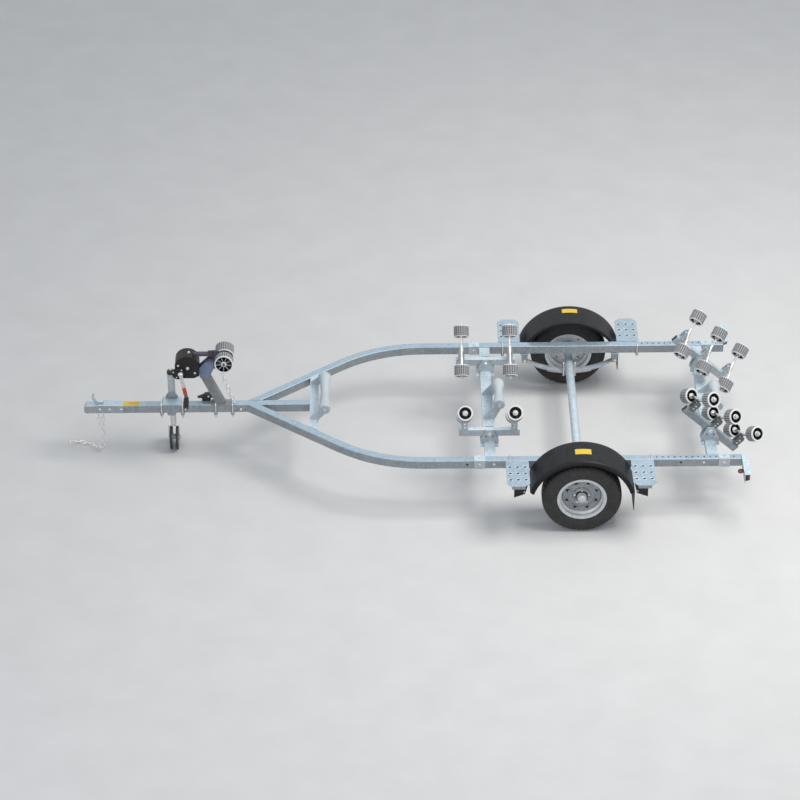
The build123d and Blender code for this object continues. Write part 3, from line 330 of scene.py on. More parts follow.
label_orange = moulded("label_orange", (0.80, 0.36, 0.04), 0.35, 0.1, 120.0, 0.08, 0.05)
# painted shade: a dark colour for the discs and plates drawn where holes, vents and the ring round
# the wheel cap are; also used for the black caps in the rails' ends
painted_hole_shade_and_caps = moulded("painted_hole_shade_and_caps", (0.03, 0.03, 0.032), 0.8, 0.0)
black_steel = painted("black_steel", (0.008, 0.008, 0.009), 0.4, 0.25)
red_paint = painted("red_paint", (0.62, 0.07, 0.02), 0.35)
bow_strap = strap("bow_strap")
lens_red = lens("lens_red", (0.33, 0.009, 0.007))
lens_amber = lens("lens_amber", (0.42, 0.10, 0.008))
lens_clear = lens("lens_clear", (0.72, 0.73, 0.74))


# ---- mesh code


def at(x, y, z):
    """A point in millimetres, X from the axle, in the frame's metres."""
    return Vector(((x + AXLE_X) / 1000.0, y / 1000.0, z / 1000.0))


def basis(axis):
    """Two unit vectors square to an axis and to each other."""
    hint = Z if abs(axis.z) < 0.9 else X
    first = (hint - axis * hint.dot(axis)).normalized()
    return first, axis.cross(first)


def place(name, data):
    """A new object in the scene."""
    obj = bpy.data.objects.new(name, data)
    bpy.context.scene.collection.objects.link(obj)
    return obj


def circle(count, start=0.0):
    """Angles spaced evenly round a circle."""
    return [start + 2 * pi * i / count for i in range(count)]


def ring(centre, axes, radius, count, start=0.0):
    """Points on a circle that lies across two unit vectors."""
    first, second = axes
    return [centre + (first * cos(a) + second * sin(a)) * radius for a in circle(count, start)]


def ring_numbers(rings, count):
    """The numbers of the points of rings that were added one after the other."""
    return [list(range(n * count, (n + 1) * count)) for n in range(rings)]


def band(low, high):
    """The faces between two rings with as many points each."""
    return list(zip(low, low[1:] + low[:1], high[1:] + high[:1], high))


def rectangle(x0, y0, x1, y1):
    """A rectangle's outline from two opposite corners."""
    return [(x0, y0), (x1, y0), (x1, y1), (x0, y1)]


def rounded(points, rounds=3):
    """Cuts a bent line's corners off a few times, so that it runs as a bent bar does."""
    points = [Vector(p) for p in points]
    for _ in range(rounds):
        cut = [points[0]]
        for a, b in zip(points, points[1:]):
            cut += [a.lerp(b, 0.25), a.lerp(b, 0.75)]
        points = cut + [points[-1]]
    return points


def rounded_box(width, height, corner, steps=4):
    """The outline of a hollow section's outside, with its rounded corners."""
    outline = []
    for sx, sy, start in ((1, -1, -90), (1, 1, 0), (-1, 1, 90), (-1, -1, 180)):
        for k in range(steps + 1):
            a = radians(start + 90 * k / steps)
            x = sx * (width / 2 - corner) + corner * cos(a)
            outline.append((x, sy * (height / 2 - corner) + corner * sin(a)))
    return outline


class Piece:
    """Collects a piece's faces. A face's mat is the number of one of the piece's materials."""

    def __init__(self, *materials):
        self.materials = materials
        self.verts = []
        self.faces = []
        self.slots = []

    def add(self, verts, groups):
        """Adds points and, by the number of their material, the faces between them."""
        base = len(self.verts)
        self.verts += [Vector(v) for v in verts]
        for mat, faces in groups.items():
            self.faces += [tuple(base + i for i in face) for face in faces]
            self.slots += [mat] * len(faces)

    def skin(self, verts, count, mat, closed=False):
        """Joins rings of points, given one after the other, and caps the ends or closes them."""
        rings = ring_numbers(len(verts) // count, count)
        faces = [tuple(reversed(rings[0])), tuple(rings[-1])]
        if closed:
            faces = band(rings[-1], rings[0])
        for low, high in zip(rings, rings[1:]):
            faces += band(low, high)
        self.add(verts, {mat: faces})

    def lathe(self, profile, centre, axis, segs=32, mat=0, closed=True):
        """Turns (radius, distance along the axis) pairs round an axis.

        A profile that ends off the axis is closed on itself, unless closed is False.
        """
        axis = Vector(axis).normalized()
        axes = basis(axis)
        centre = Vector(centre)
        verts = []
        rings = []
        for radius, along in profile:
            spot = centre + axis * along
            # a ring on the axis is one point, and its faces are triangles
            base, step = len(verts), 1 if radius else 0
            rings.append([base + i * step for i in range(segs)])
            verts += ring(spot, axes, radius, segs) if radius else [spot]
        pairs = list(zip(rings, rings[1:]))
        if closed and profile[0][0] and profile[-1][0]:
            pairs.append((rings[-1], rings[0]))
        faces = [tuple(dict.fromkeys(face)) for low, high in pairs for face in band(low, high)]
        self.add(verts, {mat: faces})

    def disc(self, centre, axis, radius, height, segs=24, mat=0):
        """A washer, a cap, or a thin dark disc painted as the shade of a hole, standing on a face.
        """
        self.lathe([(0, 0), (radius, 0), (radius, height), (0, height)], centre, axis, segs, mat)

    def prism(self, outline, origin, x_dir, y_dir, depth, mat=0, centred=False):
        """A flat outline pushed along x_dir cross y_dir."""
        x_dir = Vector(x_dir).normalized()
        y_dir = Vector(y_dir).normalized()
        out = x_dir.cross(y_dir)
        origin = Vector(origin)
        if centred:
            origin = origin - out * depth / 2
        low = [origin + x_dir * a + y_dir * b for a, b in outline]
        self.skin(low + [point + out * depth for point in low], len(outline), mat)

    def plate(self, outline, origin, depth, mat=0):
        """An upright plate across Y, centred on its origin."""
        self.prism(outline, origin, X, Z, depth, mat, centred=True)

    def box(self, centre, size, mat=0, x_dir=X, y_dir=Y):
        a, b, c = (s / 2 for s in size)
        self.prism(rectangle(-a, -b, a, b), centre, x_dir, y_dir, 2 * c, mat, centred=True)

    def arched(self, section, centre_z, start, end, steps, mat=0):
        """Carries a closed section of (radius, y) points round Y, between two angles from +X."""
        verts = []
        for k in range(steps + 1):
            a = radians(start + (end - start) * k / steps)
            verts += [(radius * cos(a), y, centre_z + radius * sin(a)) for radius, y in section]
        self.skin(verts, len(section), mat)

    def tube(self, points, radius, segs=12, mat=0, closed=False):
        """A round bar along points, with flat ends."""
        points = [Vector(p) for p in points]
        count = len(points)
        verts = []
        first = None
        for n, point in enumerate(points):
            before = points[(n - 1) % count] if closed or n > 0 else point
            after = points[(n + 1) % count] if closed or n < count - 1 else point
            along = (after - before).normalized()
            if first is None:
                first, second = basis(along)
            else:
                first = (first - along * first.dot(along)).normalized()
                second = along.cross(first)
            verts += ring(point, (first, second), radius, segs)
        self.skin(verts, segs, mat, closed)

    def hexagon(self, centre, axis, across, height, mat=0, turn=0.0):
        """A hexagon head or nut with a chamfered top."""
        axis = Vector(axis).normalized()
        radius = across / sqrt(3)
        verts = []
        for level, scale in ((0.0, 1.0), (height * 0.82, 1.0), (height, 0.86)):
            spot = Vector(centre) + axis * level
            verts += ring(spot, basis(axis), radius * scale, 6, radians(turn))
        self.skin(verts, 6, mat)

    def bolt(self, centre, axis, size, mat=0, thread=0.0):
        """A washer and a head standing on a face, with an optional thread end above the nut."""
        axis = Vector(axis).normalized()
        centre = Vector(centre)
        self.disc(centre, axis, size, size * 0.18, 20, mat)
        self.hexagon(centre + axis * size * 0.18, axis, size * 1.5, size * 0.62, mat, 10.0)
        if thread:
            low, high = size * 0.8, size * 0.8 + thread
            reach = size * 0.45
            profile = [(0, low), (reach, low), (reach, high - 1.5), (size * 0.36, high), (0, high)]
            self.lathe(profile, centre, axis, 14, mat)

    def ubolt(self, centre, span, rise, radius, tail):
        """A U bolt across Y: its square back lies on top, its legs point down to nuts."""
        centre = Vector(centre)
        half = span / 2
        bend = min(14.0, half * 0.5)
        leg = [(half, rise + tail)]
        for step in range(6):
            a = pi / 2 * step / 5
            leg.append((half - bend + bend * cos(a), bend - bend * sin(a)))
        line = [(-reach, drop) for reach, drop in leg] + leg[::-1]
        self.tube([centre + Y * reach - Z * drop for reach, drop in line], radius, 10)
        for side in (-1, 1):
            self.hexagon(centre + Y * half * side - Z * rise, -Z, radius * 3.0, radius * 1.5)

    def make(self, name, body, bevel=0.0, sharp=32.0, replaces=None):
        """Makes the object. It rides on a body, and can stand for a CAD node."""
        mesh = bpy.data.meshes.new(name)
        mesh.from_pydata([at(*v) for v in self.verts], [], self.faces)
        for material in self.materials:
            mesh.materials.append(material)
        mesh.polygons.foreach_set("material_index", self.slots)
        mesh.validate()
        mesh.shade_smooth()
        mesh.set_sharp_from_angle(angle=radians(sharp))
        obj = place(name, mesh)
        if bevel:
            modifier = obj.modifiers.new("edges", "BEVEL")
            modifier.width = bevel / 1000.0
            modifier.segments = 2
            modifier.limit_method = "ANGLE"
            modifier.angle_limit = radians(35.0)
            modifier.harden_normals = True
        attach(obj, body)
        if replaces:
            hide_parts(replaces)


# ---- CAD nodes that stay

# these parts get the lighter copy of the zinc, painted light
lit_nodes = "cradle_pivots rail_saddles crossmembers jack_clamp keel_brackets axle lamp_plates"
for names, material in (
    ("rails drawbar spring_hangers", galv),
    ("rim_left rim_right", galv_rim),
    (lit_nodes, galv_lit),
    ("leaf_springs", spring_steel),
    ("winch_post", galv_post),
    ("bow_bracket", bow_strap),
    ("coupler coupler_latch", cast_zinc),
    ("winch_housing", black_steel),
    ("winch_crank jack_leg jack_fork", bright),
    ("safety_chain bow_chain", chain_steel),
    ("mud_flaps", flap_rubber),
    ("plug_holder", lamp_black),
):
    for name in names.split():
        nodes[name].data.materials.clear()
        nodes[name].data.materials.append(material)


# ---- wheels

TYRE_R = 295
TYRE_STEPS = 288
# across the tread from its middle, and (radius, distance from the middle) down the side wall
TREAD = [-60, -52, -46, -38.6, -38.4, -33.1, -32.9, -25, -16.6, -16.4, -11.1, -10.9]
WALL = [(287, 66), (278, 72.5), (268, 77.5), (262, 80.5), (259, 80), (252, 81.6)]
WALL += [(243, 82.2), (238, 81.2), (234, 82.3), (222, 81.8), (208, 78), (196, 72)]
WALL += [(188, 67.5), (184.5, 65.5), (184, 62), (166, 57)]


def tread_depth(step, across):
    """How far a point of the tread is sunk: grooves round the tyre and blocks on its shoulders."""
    side = abs(across)
    if side >= 38.5 and step % 6 == 0:
        return 6
    if 16.5 <= side <= 33 and (step + (3 if across > 0 else 0)) % 12 == 0:
        return 5
    return 6.5 if 11 < side < 16.5 or 33 < side < 38.5 else 0


def make_tyre(word, side):
    """A tyre with a treaded crown and rings on its side walls."""
    places = TREAD + [0] + [-a for a in reversed(TREAD)]
    tread = [(TYRE_R - (abs(a) / 60) ** 4 * 5, a) for a in places]
    profile = [(r, -a) for r, a in reversed(WALL)] + tread + WALL
    centre = Vector((0, side * WHEEL_Y, AXLE_Z))
    verts = []
    for radius, across in profile:
        for i, a in enumerate(circle(TYRE_STEPS)):
            r = radius
            if radius > WALL[0][0]:
                r -= tread_depth(i, across)
            elif abs(across) <= 73 and radius > 270 and i % 6 == 0:
                r -= 3.5
            verts.append(centre + Vector((r * sin(a), across, r * cos(a))))
    rings = ring_numbers(len(profile), TYRE_STEPS)
    faces = []
    for low, high in zip(rings, rings[1:] + rings[:1]):
        faces += zip(low, high, high[1:] + high[:1], low[1:] + low[:1])
    piece = Piece(tyre)
    piece.add(verts, {0: faces})
    piece.make(f"tyre_{word}_treaded", f"wheel_{word}", sharp=38, replaces=f"tyre_{word}")


def make_wheel_fittings(word, side):
    """Wheel nuts, valve, dust cap, and the pressed disc with its vents."""
    piece = Piece(bright, grip_rubber, galv_rim, galv_disc_shaded, painted_hole_shade_and_caps)
    middle = Vector((0, side * WHEEL_Y, AXLE_Z))
    out = Vector((0, side, 0))
    for k in range(5):
        a = radians(72 * k + 90)
        spot = middle + Vector((cos(a) * 56, side * 18, sin(a) * 56))
        piece.lathe([(0, 0), (13, 0), (11, 4), (0, 4)], spot, out, 20)
        piece.hexagon(spot + out * 3, out, 19, 15, 0, 12 * k)
        piece.lathe([(0, 17), (6, 17), (5, 22), (0, 22)], spot, out, 14)
    # rubber valve by the rim's edge
    a = radians(62)
    spot = middle + Vector((cos(a) * 150, side * 20, sin(a) * 150))
    valve = [(0, 0), (6, 0), (5, 10), (3.4, 12), (3.4, 30), (4.4, 31), (4.4, 36), (0, 36)]
    piece.lathe(valve, spot, out, 14, 1)
    # the disc's swelling in painted shade, a ring of painted shade round the cap, and triangular
    # vents as thin dark plates of painted shade, with raised edges
    relief = [(47, 23.4), (62, 15.2), (67, 18), (74, 22.5), (84, 24), (92, 21.5), (99, 15.6)]
    relief += [(104, 14.7), (134, 14.7), (139, 16.5), (142.6, 22)]
    piece.lathe(relief, middle, out, 96, 3, closed=False)
    piece.lathe([(34.5, 28.8), (47, 23.9), (47.5, 23.2)], middle, out, 64, 4, closed=False)
    vent = [(14, -2), (14, 2), (-9, 16.5), (-13, 14), (-13, -14), (-9, -16.5)]
    lip = [(16, -2.5), (16, 2.5), (-9.5, 18.5), (-15, 15), (-15, -15), (-9.5, -18.5)]
    for a in circle(8, pi / 8):
        radial = Vector((cos(a), 0, sin(a)))
        turned = out.cross(radial)
        spot = middle + radial * 119 + out * 14.6
        piece.prism(vent, spot, radial, turned, 0.7, 4, centred=True)
        edge = [spot + radial * p + turned * q + out * 0.5 for p, q in lip]
        piece.tube(edge, 1.3, 8, 2, closed=True)
    # dust cap with a pressed dome
    cap = [(0, 79), (12, 78), (24, 74.5), (31, 68), (33.4, 60), (33.8, 40), (36.5, 38), (36.5, 34)]
    piece.lathe(cap + [(33, 33), (0, 33)], middle, out, 40, 2)
    piece.make(f"wheel_fittings_{word}", f"wheel_{word}")


for side, word in SIDES:
    make_tyre(word, side)
    make_wheel_fittings(word, side)


# ---- hollow ribbed rollers

# the numbers of its materials: the groove is what lies between its blocks; the sleeve's grey is
# darkened as painted shade, the ends are a lighter copy painted as light, and the groove and the
# core are painted shade
SLEEVE, SHADED_CORE, LIT_EDGE, SHADED_GROOVE = range(4)
# one rib and its groove, by how much of the groove's depth each of six points has
RIB = (0, 0, 0, 0.35, 1, 0.35)


def ribbed_roller(
    body, centre, axis, radius, length, ribs,
    wall=12.5, hub=20, spokes=6, spoke_mat=SHADED_CORE, bore=10.5, depth=26,
):
    """A sleeve with rows of blocks, and hollow ends with a core of painted shade, spokes and a hub.
    """
    piece = Piece(roller_grey, roller_core_painted_shade, roller_painted_light_edge, groove_painted_shade)
    axis = Vector(axis).normalized()
    first, second = basis(axis)
    centre = Vector(centre)
    segs = ribs * len(RIB)
    half = length / 2
    # along the axis: place, how far the surface is sunk, and how deep the grooves are
    end = [(half - 6.2, 0.1, 0), (half - 4, 1.4, 0), (half - 1.5, 3, 0), (half, 4, 0)]
    stations = [(-along, sunk, cut) for along, sunk, cut in reversed(end)]
    rows = max(3, round((length - 14) / 17))
    pitch = (length - 14) / rows
    for row in range(rows):
        low = -half + 7 + row * pitch
        stations += [(low + 0.4, 3, 0), (low + 2.6, 3, 0)]
        stations += [(low + 3.2, 0.3, 1), (low + pitch - 0.4, 0.3, 1)]
    stations += end
    verts = []
    for along, sunk, cut in stations:
        for i, a in enumerate(circle(segs)):
            reach = radius - sunk - 4.2 * cut * RIB[i % 6]
            verts.append(centre + axis * along + (first * cos(a) + second * sin(a)) * reach)
    rings = ring_numbers(len(stations), segs)
    faces = {SLEEVE: [], LIT_EDGE: [], SHADED_GROOVE: []}
    for n, (low, high) in enumerate(zip(stations, stations[1:])):
        gap = low[1] == high[1] == 3
        cut = low[2] == high[2] == 1
        for i, face in enumerate(band(rings[n], rings[n + 1])):
            groove = gap or (cut and RIB[i % 6] + RIB[(i + 1) % 6] > 1)
            at_end = n < 3 or n > len(stations) - 5
            faces[LIT_EDGE if at_end else SHADED_GROOVE if groove else SLEEVE].append(face)
    piece.add(verts, faces)
    inner = radius - wall
    for way in (1, -1):
        out = axis * way
        # the ring at the end in a lighter copy, painted light; then the hollow and its web in
        # painted shade; and the hub, painted light as well
        rim = [(radius - 4, half), (inner + 1.5, half), (inner, half - 1.5), (inner, half - 9)]
        hollow = [(inner, half - 9), (inner, 6), (hub + 3, 6), (hub, 9), (hub, half - 14)]
        boss = [(hub, half - 14), (hub, half - 7), (hub - 2, half - 6), (bore, half - 6)]
        piece.lathe(rim, centre, out, segs, LIT_EDGE, closed=False)
        piece.lathe(hollow, centre, out, segs, SHADED_CORE, closed=False)
        piece.lathe(boss, centre, out, 40, LIT_EDGE, closed=False)
        for a in circle(spokes, 0.3):
            radial = first * cos(a) + second * sin(a)
            mid = centre + out * (6 + (half - depth) / 2) + radial * (hub + inner) / 2
            piece.box(mid, (inner - hub + 2, 4, half - depth), spoke_mat, radial, out.cross(radial))
    piece.make(f"{body}_ribbed", body, sharp=30, replaces=body)


# ---- cradles

EAR_TOP = 117
# a stem's bent line, as (outward, up) from the beam's middle
STEM_LINE = ((119, 260), (38.6, 179.6), (6, 121), (-121, 68), (-201, -12))
CRADLES = (
    # end, pivot x, pivot z, pitch, places of the stems along the beam, beam's half length
    ("front", MIDDLE_X, FRONT_PIVOT_Z, 0, (185, -185), 225),
    ("rear", REAR_X, REAR_PIVOT_Z, REAR_PITCH, (234, 0, -234), 274),
)


class CradleFrame:
    """The cradle's own axes: along the beam, outward across it, and up from its top."""

    def __init__(self, side, x, z, pitch):
        p = radians(pitch)
        self.origin = Vector((x, side * BEAM_Y, z))
        self.along = Vector((cos(p), 0, sin(p)))
        self.out = Vector((0, side, 0))
        self.up = Vector((-sin(p), 0, cos(p)))

    def point(self, a, y, n):
        """A point on those axes, counted from the beam's middle."""
        return self.origin + self.along * a + self.out * y + self.up * n


def make_cradle(name, local, stems, half):
    """The beam, the low brackets on it and the bent bars that carry the rollers."""
    # painted light and shade: the near rear cradle gets the darker zinc and the shaded brackets,
    # the others the lighter copy
    beam, bracket = (galv, galv_shade) if name == "rear_left" else (galv_lit, galv_lit)
    piece = Piece(beam, bracket, bright, grip_rubber)
    piece.prism(rounded_box(40, 60, 6), local.origin - local.along * half, Y, local.up, 2 * half)
    # a bracket's cheek with cut top corners
    cheek = rectangle(-23, 22, 23, EAR_TOP - 20)[:3]
    cheek += [(12, EAR_TOP), (-12, EAR_TOP), (-23, EAR_TOP - 20)]
    for along in stems:
        piece.tube(rounded([local.point(along, y, n) for y, n in STEM_LINE]), 10, 18, 2)
        for way in (1, -1):
            spot = local.point(along, way * 21.5, 0)
            piece.prism(cheek, spot, local.along, local.up, 4, 1, centred=True)
        # the foot on the beam, and the web between the cheeks
        piece.box(local.point(along, 0, 32.5), (50, 39, 5), 1, local.along, local.out)
        piece.box(local.point(along, 0, 94), (34, 39, 5), 1, local.along, local.out)
        for way in (1, -1):
            for n in (50, 78):
                piece.bolt(local.point(along, way * 23.5, n), local.out * way, 7.5, 2, 3)
    for way in (1, -1):
        # the plug in the beam's end
        piece.box(local.point(way * (half - 1), 0, 0), (3, 33, 53), 3, local.along, local.out)
    node = f"cradle_{name}"
    piece.make(f"{node}_bars", node, bevel=0.8, sharp=34, replaces=node)


def make_cradle_rollers(name, local, stems):
    """The rollers, and the washers and lock nuts that hold them on the stems."""
    tilt = radians(STEM_TILT)
    lean = local.out * cos(tilt) + local.up * sin(tilt)
    fittings = Piece(bright)
    pairs = [(along, roller) for along in stems for roller in (OUTER_ROLLER, INNER_ROLLER)]
    for number, (along, roller) in enumerate(pairs, 1):
        centre = local.point(along, *roller)
        ribbed_roller(f"roller_{name}_{number}", centre, lean, ROLLER_R, ROLLER_L, 20)
        for way in (1, -1):
            fittings.disc(centre + lean * way * (ROLLER_L / 2 - 5.5), lean * way, 17, 2.5, 20)
        # the nut on the stem's free end, and the end of its thread
        free = lean if roller == OUTER_ROLLER else -lean
        spot = centre + free * (ROLLER_L / 2 - 3)
        fittings.hexagon(spot, free, 27, 14, 0, 20)
        fittings.lathe([(0, 14), (9.9, 14), (9.9, 19.6), (8.6, 20.8), (0, 20.8)], spot, free, 20)
    fittings.make(f"cradle_fittings_{name}", f"cradle_{name}", bevel=0.6)


for end, x, z, pitch, stems, half in CRADLES:
    for side, word in SIDES:
        local = CradleFrame(side, x, z, pitch)
        make_cradle(f"{end}_{word}", local, stems, half)
        make_cradle_rollers(f"{end}_{word}", local, stems)


# ---- keel and bow rollers

KEEL_ROLLERS = (
    # name, x a little behind the crossmember, z, length
    ("front", FRONT_X - 84, 563, 430),
    ("middle", MIDDLE_X - 84, 540, 290),
    ("rear", REAR_X - 84, 505, 290),
)
LOBE_R = 45
WAIST_R = 30


def make_keel_roller(name, x, z, length):
    """A waisted roller with rings near its ends."""
    roller = Piece(keel_grey, roller_core_painted_shade)
    half = length / 2
    profile = [(9.5, -half), (LOBE_R - 9, -half), (LOBE_R - 3, -half + 1.5), (LOBE_R, -half + 6)]
    for step in (12, 23, 34):
        for less, along in ((0, 0), (1.8, 1.5), (1.8, 4), (0, 5.5)):
            profile.append((LOBE_R - less, -half + step + along))
    profile += [(LOBE_R - 1, -half + 48), (LOBE_R - 7.5, -half + 74)]
    profile += [(WAIST_R + 2.5, -52), (WAIST_R, -34)]
    profile += [(r, -a) for r, a in reversed(profile)]
    roller.lathe(profile, (x, 0, z), Y, 56)
    # a dark disc of painted shade on each end
    for way in (1, -1):
        roller.disc((x, way * (half + 0.4), z), Y * way, 20, 1.6, 28, 1)
    body = f"keel_roller_{name}"
    roller.make(f"{body}_moulded", body, sharp=34, replaces=body)


for name, x, z, length in KEEL_ROLLERS:
    make_keel_roller(name, x, z, length)

for side, word in SIDES:
    tilt = radians(BOW_TILT)
    axis = (0, side * cos(tilt), sin(tilt))
    spot = (2640, side * 70, 904)
    ribbed_roller(f"bow_roller_{word}", spot, axis, 70, 92, 24, 9, 19, 9, SLEEVE, 9.6, 14)


# ---- jockey wheel and jack

jockey = Piece(grip_rubber, roller_grey)
tread = [(70, -7), (88, -8), (97, -7.5), (101.5, -5), (103, -2)]
tread += [(r, -a) for r, a in reversed(tread)]
for way in (1, -1):
    middle = Vector((JACK_X + way * 23, JACK_Y, JOCKEY_Z))
    jockey.lathe(tread, middle, X, 72)
    for a in circle(6, radians(15)):
        radial = Vector((0, cos(a), sin(a)))
        jockey.box(middle + radial * 44, (54, 9, 8), 1, radial, X.cross(radial))
    jockey.lathe([(68, -6), (74, -6), (74, 6), (68, 6)], middle, X, 60, 1)
hub = [(8, -34), (20, -34), (22, -30), (22, 30), (20, 34), (8, 34)]
jockey.lathe(hub, (JACK_X, JACK_Y, JOCKEY_Z), X, 36, 1)
body = "jockey_wheels"
jockey.make(f"{body}_moulded", body, bevel=0.7, replaces=body)

fork = Piece(bright)
for way in (1, -1):
    fork.hexagon((JACK_X + way * 42.2, JACK_Y, JOCKEY_Z), X * way, 22, 7)
fork.hexagon((JACK_X, JACK_Y, 221.8), Z, 34, 6)
fork.make("jack_fork_nuts", "jack_fork")

jack = Piece(bright, grip_rubber, galv)
for profile, segs, mat in (
    # the cap, the pin on it, and the collars at the tube's top and bottom
    ([(0, 700.2), (28, 700.2), (30, 702), (30, 716), (27, 722), (14, 725), (0, 725)], 40, 1),
    ([(0, 724), (8, 724), (8, 734), (0, 734)], 24, 0),
    ([(28.2, 660), (31, 661), (31, 669), (28.2, 670)], 40, 0),
    ([(28.2, 348), (32, 349), (32, 366), (28.2, 367)], 40, 0),
):
    jack.lathe(profile, (JACK_X, JACK_Y, 0), Z, segs, mat)
# plates that tie the tube to the clamp
for way in (1, -1):
    gusset = [(0, 0), (way * 46, 0), (way * 46, 26), (way * 22, 62), (0, 62)]
    jack.plate(gusset, (JACK_X, -54, 485), 5, 2)
# the clamp's plates on the drawbar's left side
jack.box((JACK_X, 33.5, 452), (128, 5, 54), 2)
jack.plate([(-40, 0), (40, 0), (26, -34), (-26, -34)], (JACK_X, 35, 425), 5, 2)
jack.make("jack_fittings", "frame", bevel=0.8)


# ---- winch and its crank

crank = Piece(black_steel, red_paint, bright)
angle = radians(9)
down = Vector((-sin(angle), 0, -cos(angle)))
hub = Vector((2968, 92, 812))
grip = hub + down * 222
# the grip swells to its middle and has a row of ribs
profile = [(0, 3.5), (15.5, 3.5), (17, 6)]
for k in range(9):
    base = 6 + k * 14.5
    swell = 16.8 + 4.6 * sin(pi * min(1, (k + 1.5) / 10.5))
    for less, along in ((0, 3), (0, 10), (1.2, 11.5), (1.2, 13)):
        profile.append((swell - less, base + along))
crank.lathe(profile + [(17.5, 141), (15, 143.2), (0, 143.2)], grip, Y, 36)
crank.hexagon(grip + Y * 143, Y, 15, 5, 2)
crank.lathe([(0, -3), (17, -3), (17, -7), (0, -7)], grip, Y, 28, 2)
crank.hexagon(hub + Y * 3, Y, 24, 13, 2)
crank.disc(hub, Y, 20, 3.2, 28, 2)
# the red band on the arm
crank.box(hub + down * 155, (58, 29, 7.4), 1, down, down.cross(Y))
crank.make("winch_crank_fittings", "winch_crank", bevel=0.5)

winch = Piece(black_steel, bright)
for side in (1, -1):
    for x, z, size in ((2915, 844, 13), (2862, 800, 9), (2985, 868, 9)):
        winch.bolt((x, side * 58, z), Y * side, size, 1)
    # a pressed ring on each cheek
    press = [(2920 + 40 * cos(a), side * 58.6, 850 + 40 * sin(a)) for a in circle(30)]
    winch.tube(press, 2.2, 8, closed=True)
# gear cover on the crank's side
winch.lathe([(0, 0), (50, 0), (47, 12), (40, 16), (0, 16)], (2986, 58, 800), Y, 44)
for x, z in ((3021, 818), (2999, 773), (2960, 836)):
    winch.bolt((x, 71, z), Y, 7, 1)
winch.bolt((2904, 0, 947), Z, 11, 1)
# drum with its wound strap, seen from below and behind
drum = [(0, -40), (50, -40), (50, -37), (22, -37), (22, 37), (50, 37), (50, 40), (0, 40)]
wound = [(22, -34), (41, -34), (42, -30), (42, 30), (41, 34), (22, 34)]
winch.lathe(drum, (2905, 0, 835), Y, 40, 1)
winch.lathe(wound, (2905, 0, 835), Y, 48)
winch.make("winch_fittings", "frame", bevel=0.5)


# ---- mudguards and their labels


def shoulder(radius):
    """The rounded shoulder of the guard's section, from the crown outward."""
    turns = [radians(90 - 90 * k / 8) for k in range(9)]
    return [(374 + radius * sin(a), 985.8 + radius * cos(a)) for a in turns]


def guard_section(side):
    """The guard's sheet from its inner lip over the rounded shoulder to the rolled outer edge."""
    section = [(378.5, 758.2), (396, 758.2), (399.2, 759.6)]
    section += [(GUARD_TOP_R, y) for y in (763, 800, 880, 960)] + shoulder(26)
    section += [(370.6, 1011.8), (368.6, 1010.6), (368, 1008.4), (369, 1006.4)]
    section += [(371.4, 1005.8), (373.6, 1007)] + shoulder(22)[::-1]
    section += [(396, y) for y in (960, 880, 800, 766)]
    section += [(393, 762.2), (378.5, 762.2)]
    section = [(r, side * y) for r, y in section]
    return section if side > 0 else section[::-1]


guards = Piece(guard_black)
for side in (1, -1):
    guards.arched(guard_section(side), GUARD_Z, GUARD_END, 180 - GUARD_END, 96)
guards.make("mudguards_moulded", "frame", sharp=40, replaces="mudguards")

labels = Piece(label_yellow, label_orange)
for side, low, high in ((1, 850, 911), (-1, 905, 955)):
    # a blank label laid over the crown of each guard
    start, end = (degrees(acos(x / (GUARD_TOP_R + 1))) for x in (55, -64))
    under, over = GUARD_TOP_R + 0.05, GUARD_TOP_R + 0.7
    section = rectangle(under, side * low, over, side * high)
    labels.arched(section if side > 0 else section[::-1], GUARD_Z, start, end, 12)
# a blank label on the drawbar, with a darker field
labels.prism(rectangle(3297, -26, 3418, 26), (0, 0, RAIL_TOP + 0.05), X, Y, 0.7)
labels.prism(rectangle(3303, -12, 3380, 14), (0, 0, RAIL_TOP + 0.72), X, Y, 0.25, 1)
labels.make("blank_labels", "frame")


# ---- rear lamps

lamps = Piece(lamp_black, lens_red, lens_amber, lens_clear, bright)
for side in (1, -1):
    middle_y = side * 865
    # the housing, then its three lenses in one row
    lamps.box((LAMP_BACK - 10, middle_y, LAMP_TOP - 29), (20, 190, 58))
    for start, width, mat in ((0, 86, 1), (88, 50, 2), (140, 46, 1)):
        y = side * (772 + start + width / 2)
        lamps.box((LAMP_BACK - 27.5, y, LAMP_TOP - 29), (15, width - 1, 52), mat)
    # clear window for the number plate, on the lamp's inner end
    lamps.box((LAMP_BACK - 14, side * 769, LAMP_TOP - 30), (18, 1.8, 26), 3)
    for dy in (-78, 78):
        lamps.bolt((LAMP_BACK - 35, middle_y + dy, LAMP_TOP - 29), -X, 4, 4)
    # amber side reflector in front of the plate
    spot = (-1170, middle_y, 448)
    lamps.lathe([(0, 0), (21, 0), (21, 5), (17, 8), (0, 8)], spot, Y * side, 36)
    lamps.lathe([(0, 7), (14, 7), (13, 10), (0, 11)], spot, Y * side, 32, 2)
lamps.make("tail_lamps_lensed", "frame", bevel=1.4, sharp=40, replaces="tail_lamps")


# ---- steps

